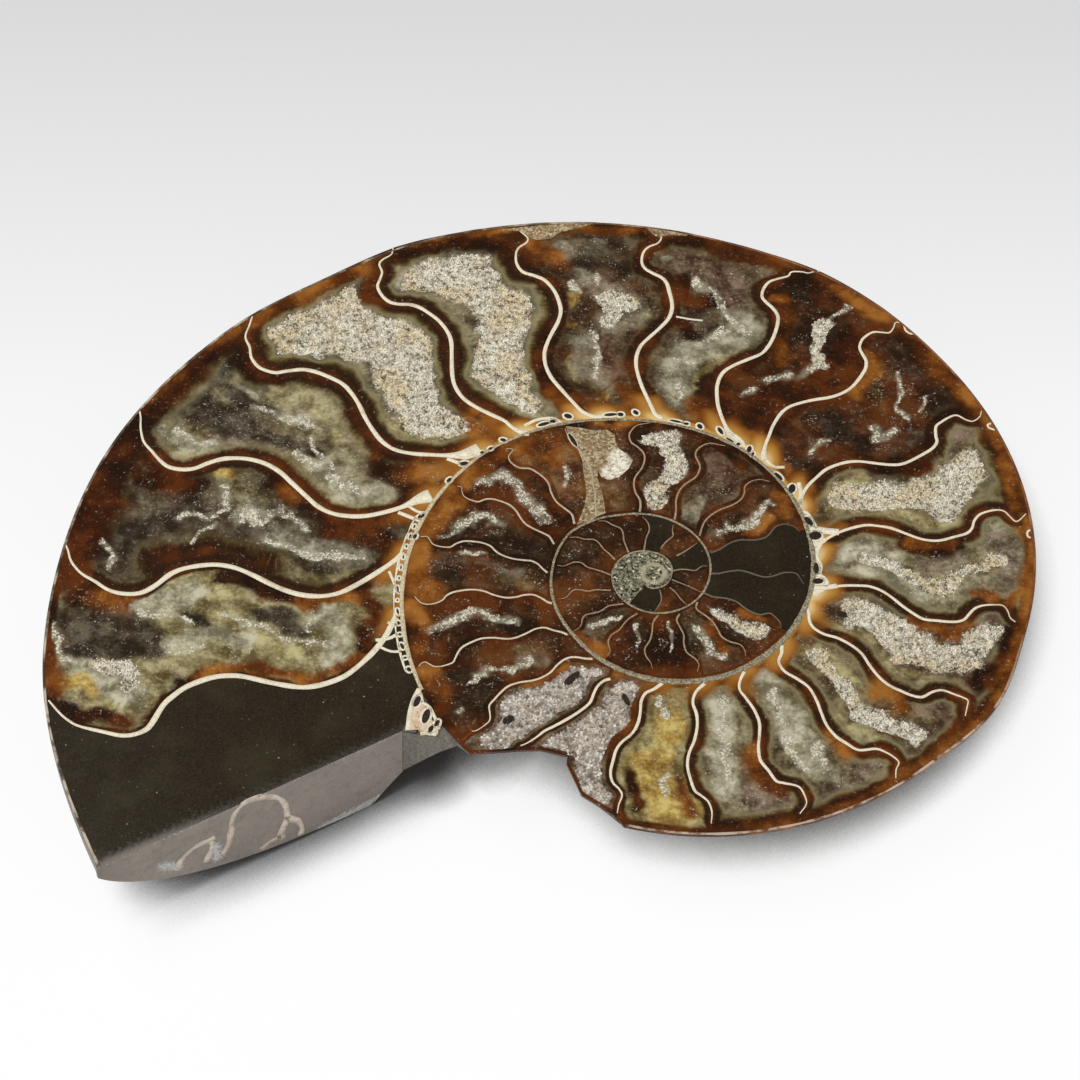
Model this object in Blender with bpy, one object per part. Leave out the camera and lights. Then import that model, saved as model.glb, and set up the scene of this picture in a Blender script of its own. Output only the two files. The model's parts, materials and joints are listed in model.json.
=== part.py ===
"""One half of a fossil ammonite, sawn along its plane of symmetry and polished, lying on its flank.

The stone is a single solid: shell, chamber fillings and body-chamber rock are cemented together.
It is drawn with the polished face at z = 0, the spiral's centre at the origin and the flank hanging
below. It is then laid down on the points of its flank that it rests on, so the face ends up slightly
tilted, with the body chamber's end highest.
Angles are measured in turns about the spiral's centre, from +X towards +Y, in the direction of growth.
"""

import math

import bmesh
import bpy
from mathutils import Matrix, Vector
from mathutils.geometry import delaunay_2d_cdt

MM = 0.001

# The outer edge of the shell (the venter) follows radius = VENTER_AT_X * exp(growth(turn)).
VENTER_AT_X = 54.05 * MM
GROWTH = (0.862, 0.010, 0.016)
FIRST_TURN = -94.4 / 360
TIP_TURN = 215.9 / 360
# Gentle swellings and dents of that edge: (degrees, height, half width in degrees).
EDGE_BUMPS = (
    (-24, 1.0 * MM, 16),
    (63, 0.65 * MM, 20),
    (133, -0.75 * MM, 14),
    (166, 0.5 * MM, 20),
    (216, -1.4 * MM, 24),
)

# The flank's depth below the face, as fractions of the whorl's outer radius.
DEEPEST = 0.160
DEEPEST_AT = 0.50
UMBILICAL_FOOT = 0.28
FLANK_FLATNESS = 3
VENTER_ROUNDNESS = 0.7
UMBILICUS_ROUNDNESS = 0.8
RIM_THICKNESS = 0.5 * MM

# The saw cut that ends the body chamber, from the tip to the inner whorl, and the notch beside it.
SAW_TIP = (-72.9 * MM, -52.7 * MM)
SAW_HEEL = (-33.9 * MM, -28.7 * MM)
NOTCH = ((-31.7 * MM, -29.1 * MM), (-28.7 * MM, -29.6 * MM), (-26.3 * MM, -30.6 * MM))
NOTCH_BACK = (-18.7 * MM, -19.4 * MM)
NOTCH_SLOPE = 2.5

# The chipped edge of the inner whorl, from the notch to the shell's outer edge.
CHIPPED_EDGE = (
    (-24.5 * MM, -32.1 * MM),
    (-17.8 * MM, -31.2 * MM),
    (-15.0 * MM, -31.0 * MM),
    (-11.2 * MM, -31.9 * MM),
    (-11.4 * MM, -33.2 * MM),
    (-9.3 * MM, -38.1 * MM),
    (-6.7 * MM, -39.9 * MM),
    (-5.0 * MM, -40.8 * MM),
)
CHIP_SLOPE = 1.2

# The spacing of the facets.
TURN_STEP = 1 / 72
FLANK_STATIONS = (0.988, 0.965, 0.93, 0.88, 0.81, 0.73, 0.64, 0.55, 0.48, 0.43, 0.39, 0.35, 0.31)
INNER_WHORLS = 3
SAW_STEPS = 8
FRACTURE_STEPS = 10
FRACTURE_ROWS = (0.0, 1.6 * MM, 3.2 * MM, 4.8 * MM)
POINT_CLEARANCE = 0.7 * MM
CENTRE_RADIUS = 2.0 * MM
SAME_POINT = 0.0001 * MM

# A facet of the hull counts as an underside when its outward normal points down at least this much.
MOSTLY_DOWN = -0.9

STONE_COLOUR = (0.16, 0.085, 0.035, 1.0)
STONE_ROUGHNESS = 0.35


def venter_radius(turn):
    growth = sum(rate * turn ** (power + 1) for power, rate in enumerate(GROWTH))
    return VENTER_AT_X * math.exp(growth)


def edge_radius(turn):
    """The venter with its swellings and dents."""
    radius = venter_radius(turn)
    for middle, height, half_width in EDGE_BUMPS:
        offset = (turn * 360 - middle) / half_width
        if abs(offset) < 1:
            radius += height * math.cos(offset * math.pi / 2) ** 2
    return radius


def at_polar(turn, radius):
    return Vector((radius * math.cos(math.tau * turn), radius * math.sin(math.tau * turn)))


def whorl_depth(radius, venter):
    """Depth of one whorl's flank at this radius: full at its middle, steep at the venter and umbilicus."""
    across = radius / venter
    if across >= 1 or across <= UMBILICAL_FOOT:
        return 0.0
    if across > DEEPEST_AT:
        reach, roundness = 1 - DEEPEST_AT, VENTER_ROUNDNESS
    else:
        reach, roundness = UMBILICAL_FOOT - DEEPEST_AT, UMBILICUS_ROUNDNESS
    fall = ((across - DEEPEST_AT) / reach) ** FLANK_FLATNESS
    return venter * DEEPEST * (1 - fall) ** roundness


def distance_to_path(point, path):
    nearest = math.inf
    for start, end in zip(path, path[1:]):
        start, end = Vector(start), Vector(end)
        along = max(0.0, min(1.0, (point - start).dot(end - start) / (end - start).length_squared))
        nearest = min(nearest, (point - start.lerp(end, along)).length)
    return nearest


def side_of_notch(point):
    """Distance from the fracture that ends the outer whorl's flank, positive on the outer whorl's side."""
    start, end = Vector(NOTCH[-1]), Vector(NOTCH_BACK)
    run = (end - start).normalized()
    away = point - start
    return run.x * away.y - run.y * away.x


def flank_depth(point):
    radius = point.length
    turn = math.atan2(point.y, point.x) / math.tau
    depth = max(whorl_depth(radius, venter_radius(turn - whorl)) for whorl in range(INNER_WHORLS + 1))
    if turn < 0:
        outer = whorl_depth(radius, venter_radius(turn + 1))
        depth = max(depth, min(outer, RIM_THICKNESS + NOTCH_SLOPE * side_of_notch(point)))
    chip = RIM_THICKNESS + CHIP_SLOPE * distance_to_path(point, (NOTCH[-1], *CHIPPED_EDGE))
    return max(RIM_THICKNESS, min(depth, chip))


def outline():
    """The polished face's outline, counter-clockwise from where the whole shell begins."""
    steps = round((TIP_TURN - FIRST_TURN) / TURN_STEP)
    turns = [FIRST_TURN + (TIP_TURN - FIRST_TURN) * step / steps for step in range(steps)]
    points = [at_polar(turn, edge_radius(turn)) for turn in turns]
    points += [Vector(SAW_TIP).lerp(Vector(SAW_HEEL), step / SAW_STEPS) for step in range(SAW_STEPS + 1)]
    return points + [Vector(point) for point in (*NOTCH, *CHIPPED_EDGE)]


def inside(point, ring):
    crossings = 0
    for start, end in zip(ring, ring[1:] + ring[:1]):
        if (start.y > point.y) != (end.y > point.y):
            crossing = start.x + (point.y - start.y) / (end.y - start.y) * (end.x - start.x)
            crossings += crossing > point.x
    return crossings % 2 == 1


def fracture_points():
    """Rows of points along the notch's fracture and up its slope."""
    start, end = Vector(NOTCH[-1]), Vector(NOTCH_BACK)
    uphill = Vector((start.y - end.y, end.x - start.x)).normalized()
    along = [start.lerp(end, step / FRACTURE_STEPS) for step in range(1, FRACTURE_STEPS + 1)]
    return [point + uphill * row for point in along for row in FRACTURE_ROWS]


def whorl_points():
    """Each whorl's stations on every ray, outermost whorl first."""
    points = []
    for step in range(round(1 / TURN_STEP)):
        turn = TIP_TURN - step * TURN_STEP
        seam = math.inf
        for whorl in range(INNER_WHORLS + 1):
            venter = venter_radius(turn - whorl)
            stations = [venter * station for station in FLANK_STATIONS]
            points += [at_polar(turn, radius) for radius in stations if CENTRE_RADIUS < radius < seam]
            seam = stations[-1]
    return points


def flank_points(ring):
    """The points inside the outline that the flank's triangles join, none too near another."""
    closed = ring + ring[:1]
    kept = []
    for point in [Vector((0, 0)), *fracture_points(), *whorl_points()]:
        clear = all((point - other).length > POINT_CLEARANCE for other in kept)
        if clear and inside(point, ring) and distance_to_path(point, closed) > POINT_CLEARANCE:
            kept.append(point)
    return kept


def triangulated(points, ring_size):
    edges = [(index, (index + 1) % ring_size) for index in range(ring_size)]
    made = delaunay_2d_cdt(points, edges, [list(range(ring_size))], 1, SAME_POINT)
    return made[0], made[2]


def stone_mesh():
    """A closed solid: the flat face above, a thin upright rim, and the flank below."""
    ring = outline()
    size = len(ring)
    made = bmesh.new()
    top = [made.verts.new((*point, 0)) for point in ring]
    spots, faces = triangulated(ring + flank_points(ring), size)
    under = [made.verts.new((*spot, -flank_depth(Vector(spot)))) for spot in spots]
    for index in range(size):
        after = (index + 1) % size
        made.faces.new((top[index], under[index], under[after], top[after]))
    for face in faces:
        made.faces.new([under[index] for index in face])
    for face in triangulated(ring, size)[1]:
        made.faces.new([top[index] for index in face])
    bmesh.ops.recalc_face_normals(made, faces=made.faces)
    return made


def centre_of_mass(solid):
    """The centroid, from the tetrahedra that the triangles make with the origin."""
    volume, moment = 0.0, Vector()
    for loops in solid.calc_loop_triangles():
        a, b, c = (loop.vert.co for loop in loops)
        part = a.dot(b.cross(c)) / 6
        volume += part
        moment += part * (a + b + c) / 4
    return moment / volume


def resting_turn(solid):
    """The rotation that lays the stone on the facet of its hull that its weight falls through."""
    centre = centre_of_mass(solid)
    hull = solid.copy()
    made = bmesh.ops.convex_hull(hull, input=hull.verts, use_existing_faces=False)
    best, lowest = None, math.inf
    for face in {item for item in made["geom"] if isinstance(item, bmesh.types.BMFace)}:
        normal = face.normal.copy()
        corners = [loop.vert.co for loop in face.loops]
        if (corners[0] - centre).dot(normal) < 0:
            normal.negate()
        height = (corners[0] - centre).dot(normal)
        foot = centre + normal * height
        edges = zip(corners, corners[1:] + corners[:1])
        sides = [(end - start).cross(foot - start).dot(face.normal) for start, end in edges]
        if normal.z < MOSTLY_DOWN and min(sides) > 0 and height < lowest:
            best, lowest = normal, height
    hull.free()
    return best.rotation_difference(Vector((0, 0, -1))).to_matrix().to_4x4()


def laid_down(solid):
    """Turns the stone to its resting pose and puts the middle of its underside at the origin."""
    solid.transform(resting_turn(solid))
    places = [vert.co for vert in solid.verts]
    low = [min(place[axis] for place in places) for axis in range(3)]
    high = [max(place[axis] for place in places) for axis in range(3)]
    solid.transform(Matrix.Translation((-(low[0] + high[0]) / 2, -(low[1] + high[1]) / 2, -low[2])))
    return solid


def stone_material():
    material = bpy.data.materials.new("polished_fossil_stone")
    material.use_nodes = True
    shader = material.node_tree.nodes["Principled BSDF"]
    shader.inputs["Base Color"].default_value = STONE_COLOUR
    shader.inputs["Roughness"].default_value = STONE_ROUGHNESS
    shader.inputs["Metallic"].default_value = 0.0
    return material


def main():
    for old in list(bpy.data.objects):
        bpy.data.objects.remove(old)
    solid = laid_down(stone_mesh())
    mesh = bpy.data.meshes.new("ammonite_half")
    solid.to_mesh(mesh)
    solid.free()
    mesh.materials.append(stone_material())
    stone = bpy.data.objects.new("ammonite_half", mesh)
    bpy.context.scene.collection.objects.link(stone)


main()
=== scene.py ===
"""The finish of one half of a fossil ammonite, sawn along its plane of symmetry and polished.

The stone is drawn in the polished face's own frame: millimetres, the spiral's centre at the origin,
the face at z = 0 and the flank hanging below. Every finished mesh is then moved to where the stone lies.
Angles are measured in turns about the spiral's centre, from +X towards +Y, in the direction of growth.
One turn less is the whorl before, so a wall or a septum has one place on the unrolled spiral.
"""

import json
import math
from collections import namedtuple

import bpy
import numpy as np
from mathutils import Matrix, Vector
from mathutils.geometry import delaunay_2d_cdt


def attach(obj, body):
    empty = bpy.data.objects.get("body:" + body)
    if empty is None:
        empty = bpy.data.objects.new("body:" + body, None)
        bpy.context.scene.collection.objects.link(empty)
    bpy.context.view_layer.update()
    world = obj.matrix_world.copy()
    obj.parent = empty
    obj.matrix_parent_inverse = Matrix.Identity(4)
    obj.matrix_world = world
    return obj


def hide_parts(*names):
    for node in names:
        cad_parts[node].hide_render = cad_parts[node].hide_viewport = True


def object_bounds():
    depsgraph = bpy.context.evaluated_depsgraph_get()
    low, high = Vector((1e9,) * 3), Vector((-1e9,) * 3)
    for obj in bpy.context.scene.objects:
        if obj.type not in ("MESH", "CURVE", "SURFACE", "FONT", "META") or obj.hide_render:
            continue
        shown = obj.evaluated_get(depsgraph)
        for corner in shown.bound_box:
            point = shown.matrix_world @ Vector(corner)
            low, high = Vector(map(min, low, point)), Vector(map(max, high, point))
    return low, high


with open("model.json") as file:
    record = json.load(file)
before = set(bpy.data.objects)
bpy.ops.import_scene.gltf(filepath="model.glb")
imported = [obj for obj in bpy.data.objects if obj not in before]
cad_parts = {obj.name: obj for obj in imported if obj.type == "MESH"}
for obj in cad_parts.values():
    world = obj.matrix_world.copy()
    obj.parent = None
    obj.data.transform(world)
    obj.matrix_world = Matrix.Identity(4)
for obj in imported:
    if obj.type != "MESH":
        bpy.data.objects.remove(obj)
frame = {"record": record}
CAD_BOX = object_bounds()
STONE = "ammonite_half"
BODY = "root"
MM = 0.001

face_mount = next(mount for mount in frame["record"]["mounts"] if mount["name"] == "polished_face")
face_tilt = Vector((0, 0, 1)).rotation_difference(Vector(face_mount["axis"]))
FACE_TO_ROW = Matrix.Translation(face_mount["pos_m"]) @ face_tilt.to_matrix().to_4x4()

# ------------------------------------------------------------------ the spiral

# The shell's wall follows radius = WALL_AT_X * exp(growth(turn)), with gentle swellings and dents.
WALL_AT_X = 54.05
GROWTH = (0.862, 0.010, 0.016)
FIRST_TURN = -94.4 / 360
TIP_TURN = 215.9 / 360
# The outer edge's swellings: (degrees, height, half width in degrees).
EDGE_BUMPS = ((-24, 1.0, 16), (63, 0.65, 20), (133, -0.75, 14), (166, 0.5, 20), (216, -1.4, 24))
# The inner walls' distance outside that law, at angles on the unrolled spiral.
INNER_WALL_SHIFTS = (
    (-1300, 0.0), (-1170, 0.6), (-1080, -0.25), (-990, -0.1), (-900, 0.55), (-810, 0.2), (-765, -0.3),
    (-720, -0.8), (-655, -0.85), (-605, -0.7), (-570, 0.4), (-540, -0.15), (-494, -0.4), (-450, 0.4),
    (-421, 0.6), (-380, 0.1), (-341, -0.25), (-300, 0.3), (-260, -0.3), (-222, 0.45), (-180, -0.25),
    (-165, -0.3), (-150, 0.0), (-138, 0.45), (-127, 0.4), (-94.4, 0.0),
)

# The saw cut that ends the body chamber, from the tip to the inner whorl, and the notch beside it.
# Keeps the finely divided outer edge inside the coarser solid's chords.
OUTLINE_INSET = 0.07
SAW_TIP = (-72.9, -52.7)
SAW_HEEL = (-33.9, -28.7)
NOTCH = ((-31.7, -29.1), (-28.7, -29.6), (-26.3, -30.6))
NOTCH_BACK = (-18.7, -19.4)
NOTCH_SLOPE = 2.5
# The chipped edge of the inner whorl, from the notch to the shell's outer edge.
CHIPPED_EDGE = (
    (-24.5, -32.1), (-17.8, -31.2), (-15.0, -31.0), (-11.2, -31.9),
    (-11.4, -33.2), (-9.3, -38.1), (-6.7, -39.9), (-5.0, -40.8),
)
CHIP_SLOPE = 1.2

# The flank's depth below the face, as fractions of the whorl's outer radius.
DEEPEST = 0.160
DEEPEST_AT = 0.50
UMBILICAL_FOOT = 0.28
FLANK_FLATNESS = 3
VENTER_ROUNDNESS = 0.7
UMBILICUS_ROUNDNESS = 0.8
RIM_THICKNESS = 0.5
WHORLS = 4


def venter_radius(turn):
    turn = np.asarray(turn, float)
    growth = sum(rate * turn ** (power + 1) for power, rate in enumerate(GROWTH))
    return WALL_AT_X * np.exp(growth)


def wall_radius(turn):
    """The wall's radius at this turn: the venter of the outer whorl, and every wall inside it."""
    turn = np.asarray(turn, float)
    degrees = turn * 360
    radius = venter_radius(turn) + np.interp(degrees, *zip(*INNER_WALL_SHIFTS), right=0.0)
    for middle, height, half_width in EDGE_BUMPS:
        offset = np.clip((degrees - middle) / half_width, -1, 1)
        radius = radius + np.where(turn >= FIRST_TURN, height * np.cos(offset * math.pi / 2) ** 2, 0)
    return radius - np.where(turn >= FIRST_TURN, OUTLINE_INSET, 0)


def at_polar(turn, radius):
    angle = np.asarray(turn) * math.tau
    return np.stack([radius * np.cos(angle), radius * np.sin(angle)], axis=-1)


def split_path(path, step):
    """Points along straight runs, about this far apart."""
    path = np.asarray(path, float)
    pieces = []
    for start, end in zip(path, path[1:]):
        count = max(1, round(float(np.linalg.norm(end - start)) / step))
        pieces.append(start + (end - start) * (np.arange(count) / count)[:, None])
    return np.vstack([*pieces, path[-1:]])


def smooth_path(path, step):
    """A curve through every point, sampled about this far apart."""
    path = np.asarray(path, float)
    if len(path) < 3:
        return split_path(path, step)
    padded = np.vstack([2 * path[0] - path[1], path, 2 * path[-1] - path[-2]])
    share = np.linspace(0, 1, 12, endpoint=False)[:, None]
    pieces = []
    for before, start, end, after in zip(padded, padded[1:], padded[2:], padded[3:]):
        leave, arrive = (end - before) / 2, (after - start) / 2
        bend = (2 * share**3 - 3 * share**2 + 1) * start + (share**3 - 2 * share**2 + share) * leave
        pieces.append(bend + (3 * share**2 - 2 * share**3) * end + (share**3 - share**2) * arrive)
    return resampled(np.vstack([*pieces, path[-1:]]), step=step)


def path_lengths(path):
    return np.concatenate([[0], np.cumsum(np.linalg.norm(np.diff(path, axis=0), axis=1))])


def resampled(path, step=None, count=None):
    """The same path with equal steps, as many as count says or about as long as step says."""
    lengths = path_lengths(path)
    count = count or max(2, round(lengths[-1] / step) + 1)
    places = np.linspace(0, lengths[-1], count)
    return np.stack([np.interp(places, lengths, column) for column in path.T], axis=-1)


chipped = split_path(((-26.0, -31.0), *CHIPPED_EDGE, (-3.4, -43.1)), 0.5)
CHIPPED_TURNS = np.arctan2(chipped[:, 1], chipped[:, 0]) / math.tau
CHIPPED_RADII = np.linalg.norm(chipped, axis=1)


def outer_radius(turn):
    """The wall's radius, but no further out than the chipped edge."""
    radius = wall_radius(turn)
    chip = np.interp(turn, CHIPPED_TURNS, CHIPPED_RADII)
    broken = (turn > CHIPPED_TURNS[0]) & (turn < CHIPPED_TURNS[-1])
    return np.where(broken, np.minimum(radius, chip), radius)


def unrolled(path):
    """Each point's turn on the unrolled spiral and its share of the way from the inner to the outer wall."""
    radius = np.linalg.norm(path, axis=1)
    turn = np.unwrap(np.arctan2(path[:, 1], path[:, 0])) / math.tau
    middle = len(path) // 2
    turn = turn - np.round(turn[middle])
    whorls = [whorl for whorl in range(-WHORLS, 2) if wall_radius(turn[middle] + whorl) > radius[middle]]
    turn = turn + min(whorls)
    inner = wall_radius(turn - 1)
    return turn, (radius - inner) / (outer_radius(turn) - inner)


def rolled(turn, share):
    inner = wall_radius(turn - 1)
    return at_polar(turn, inner + share * (outer_radius(turn) - inner))


def blob_noise(points, size, seed):
    """Smooth noise from -1 to 1, in blobs about this many millimetres across."""
    table = np.random.default_rng(seed).uniform(-1, 1, (97, 97))
    place = points / size
    cell = np.floor(place).astype(int)
    blend = place - cell
    blend = blend * blend * (3 - 2 * blend)
    low, high = cell % 97, (cell + 1) % 97
    near = table[low[:, 0], low[:, 1]] * (1 - blend[:, 0]) + table[high[:, 0], low[:, 1]] * blend[:, 0]
    far = table[low[:, 0], high[:, 1]] * (1 - blend[:, 0]) + table[high[:, 0], high[:, 1]] * blend[:, 0]
    return near * (1 - blend[:, 1]) + far * blend[:, 1]


def fade(value, low, high):
    """Zero up to low, one from high, and smooth between."""
    share = np.clip((value - low) / (high - low), 0, 1)
    return share * share * (3 - 2 * share)


def distance_to_path(points, path):
    """The distance from every point to straight runs through the path."""
    path = np.asarray(path, float)
    if len(path) == 1:
        return np.linalg.norm(points - path[0], axis=1)
    nearest = np.full(len(points), np.inf)
    for start, end in zip(path, path[1:]):
        run = end - start
        along = np.clip((points - start) @ run / (run @ run), 0, 1)
        nearest = np.minimum(nearest, np.linalg.norm(points - start - along[:, None] * run, axis=1))
    return nearest


# ------------------------------------------------------------------ where the septa run

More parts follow.
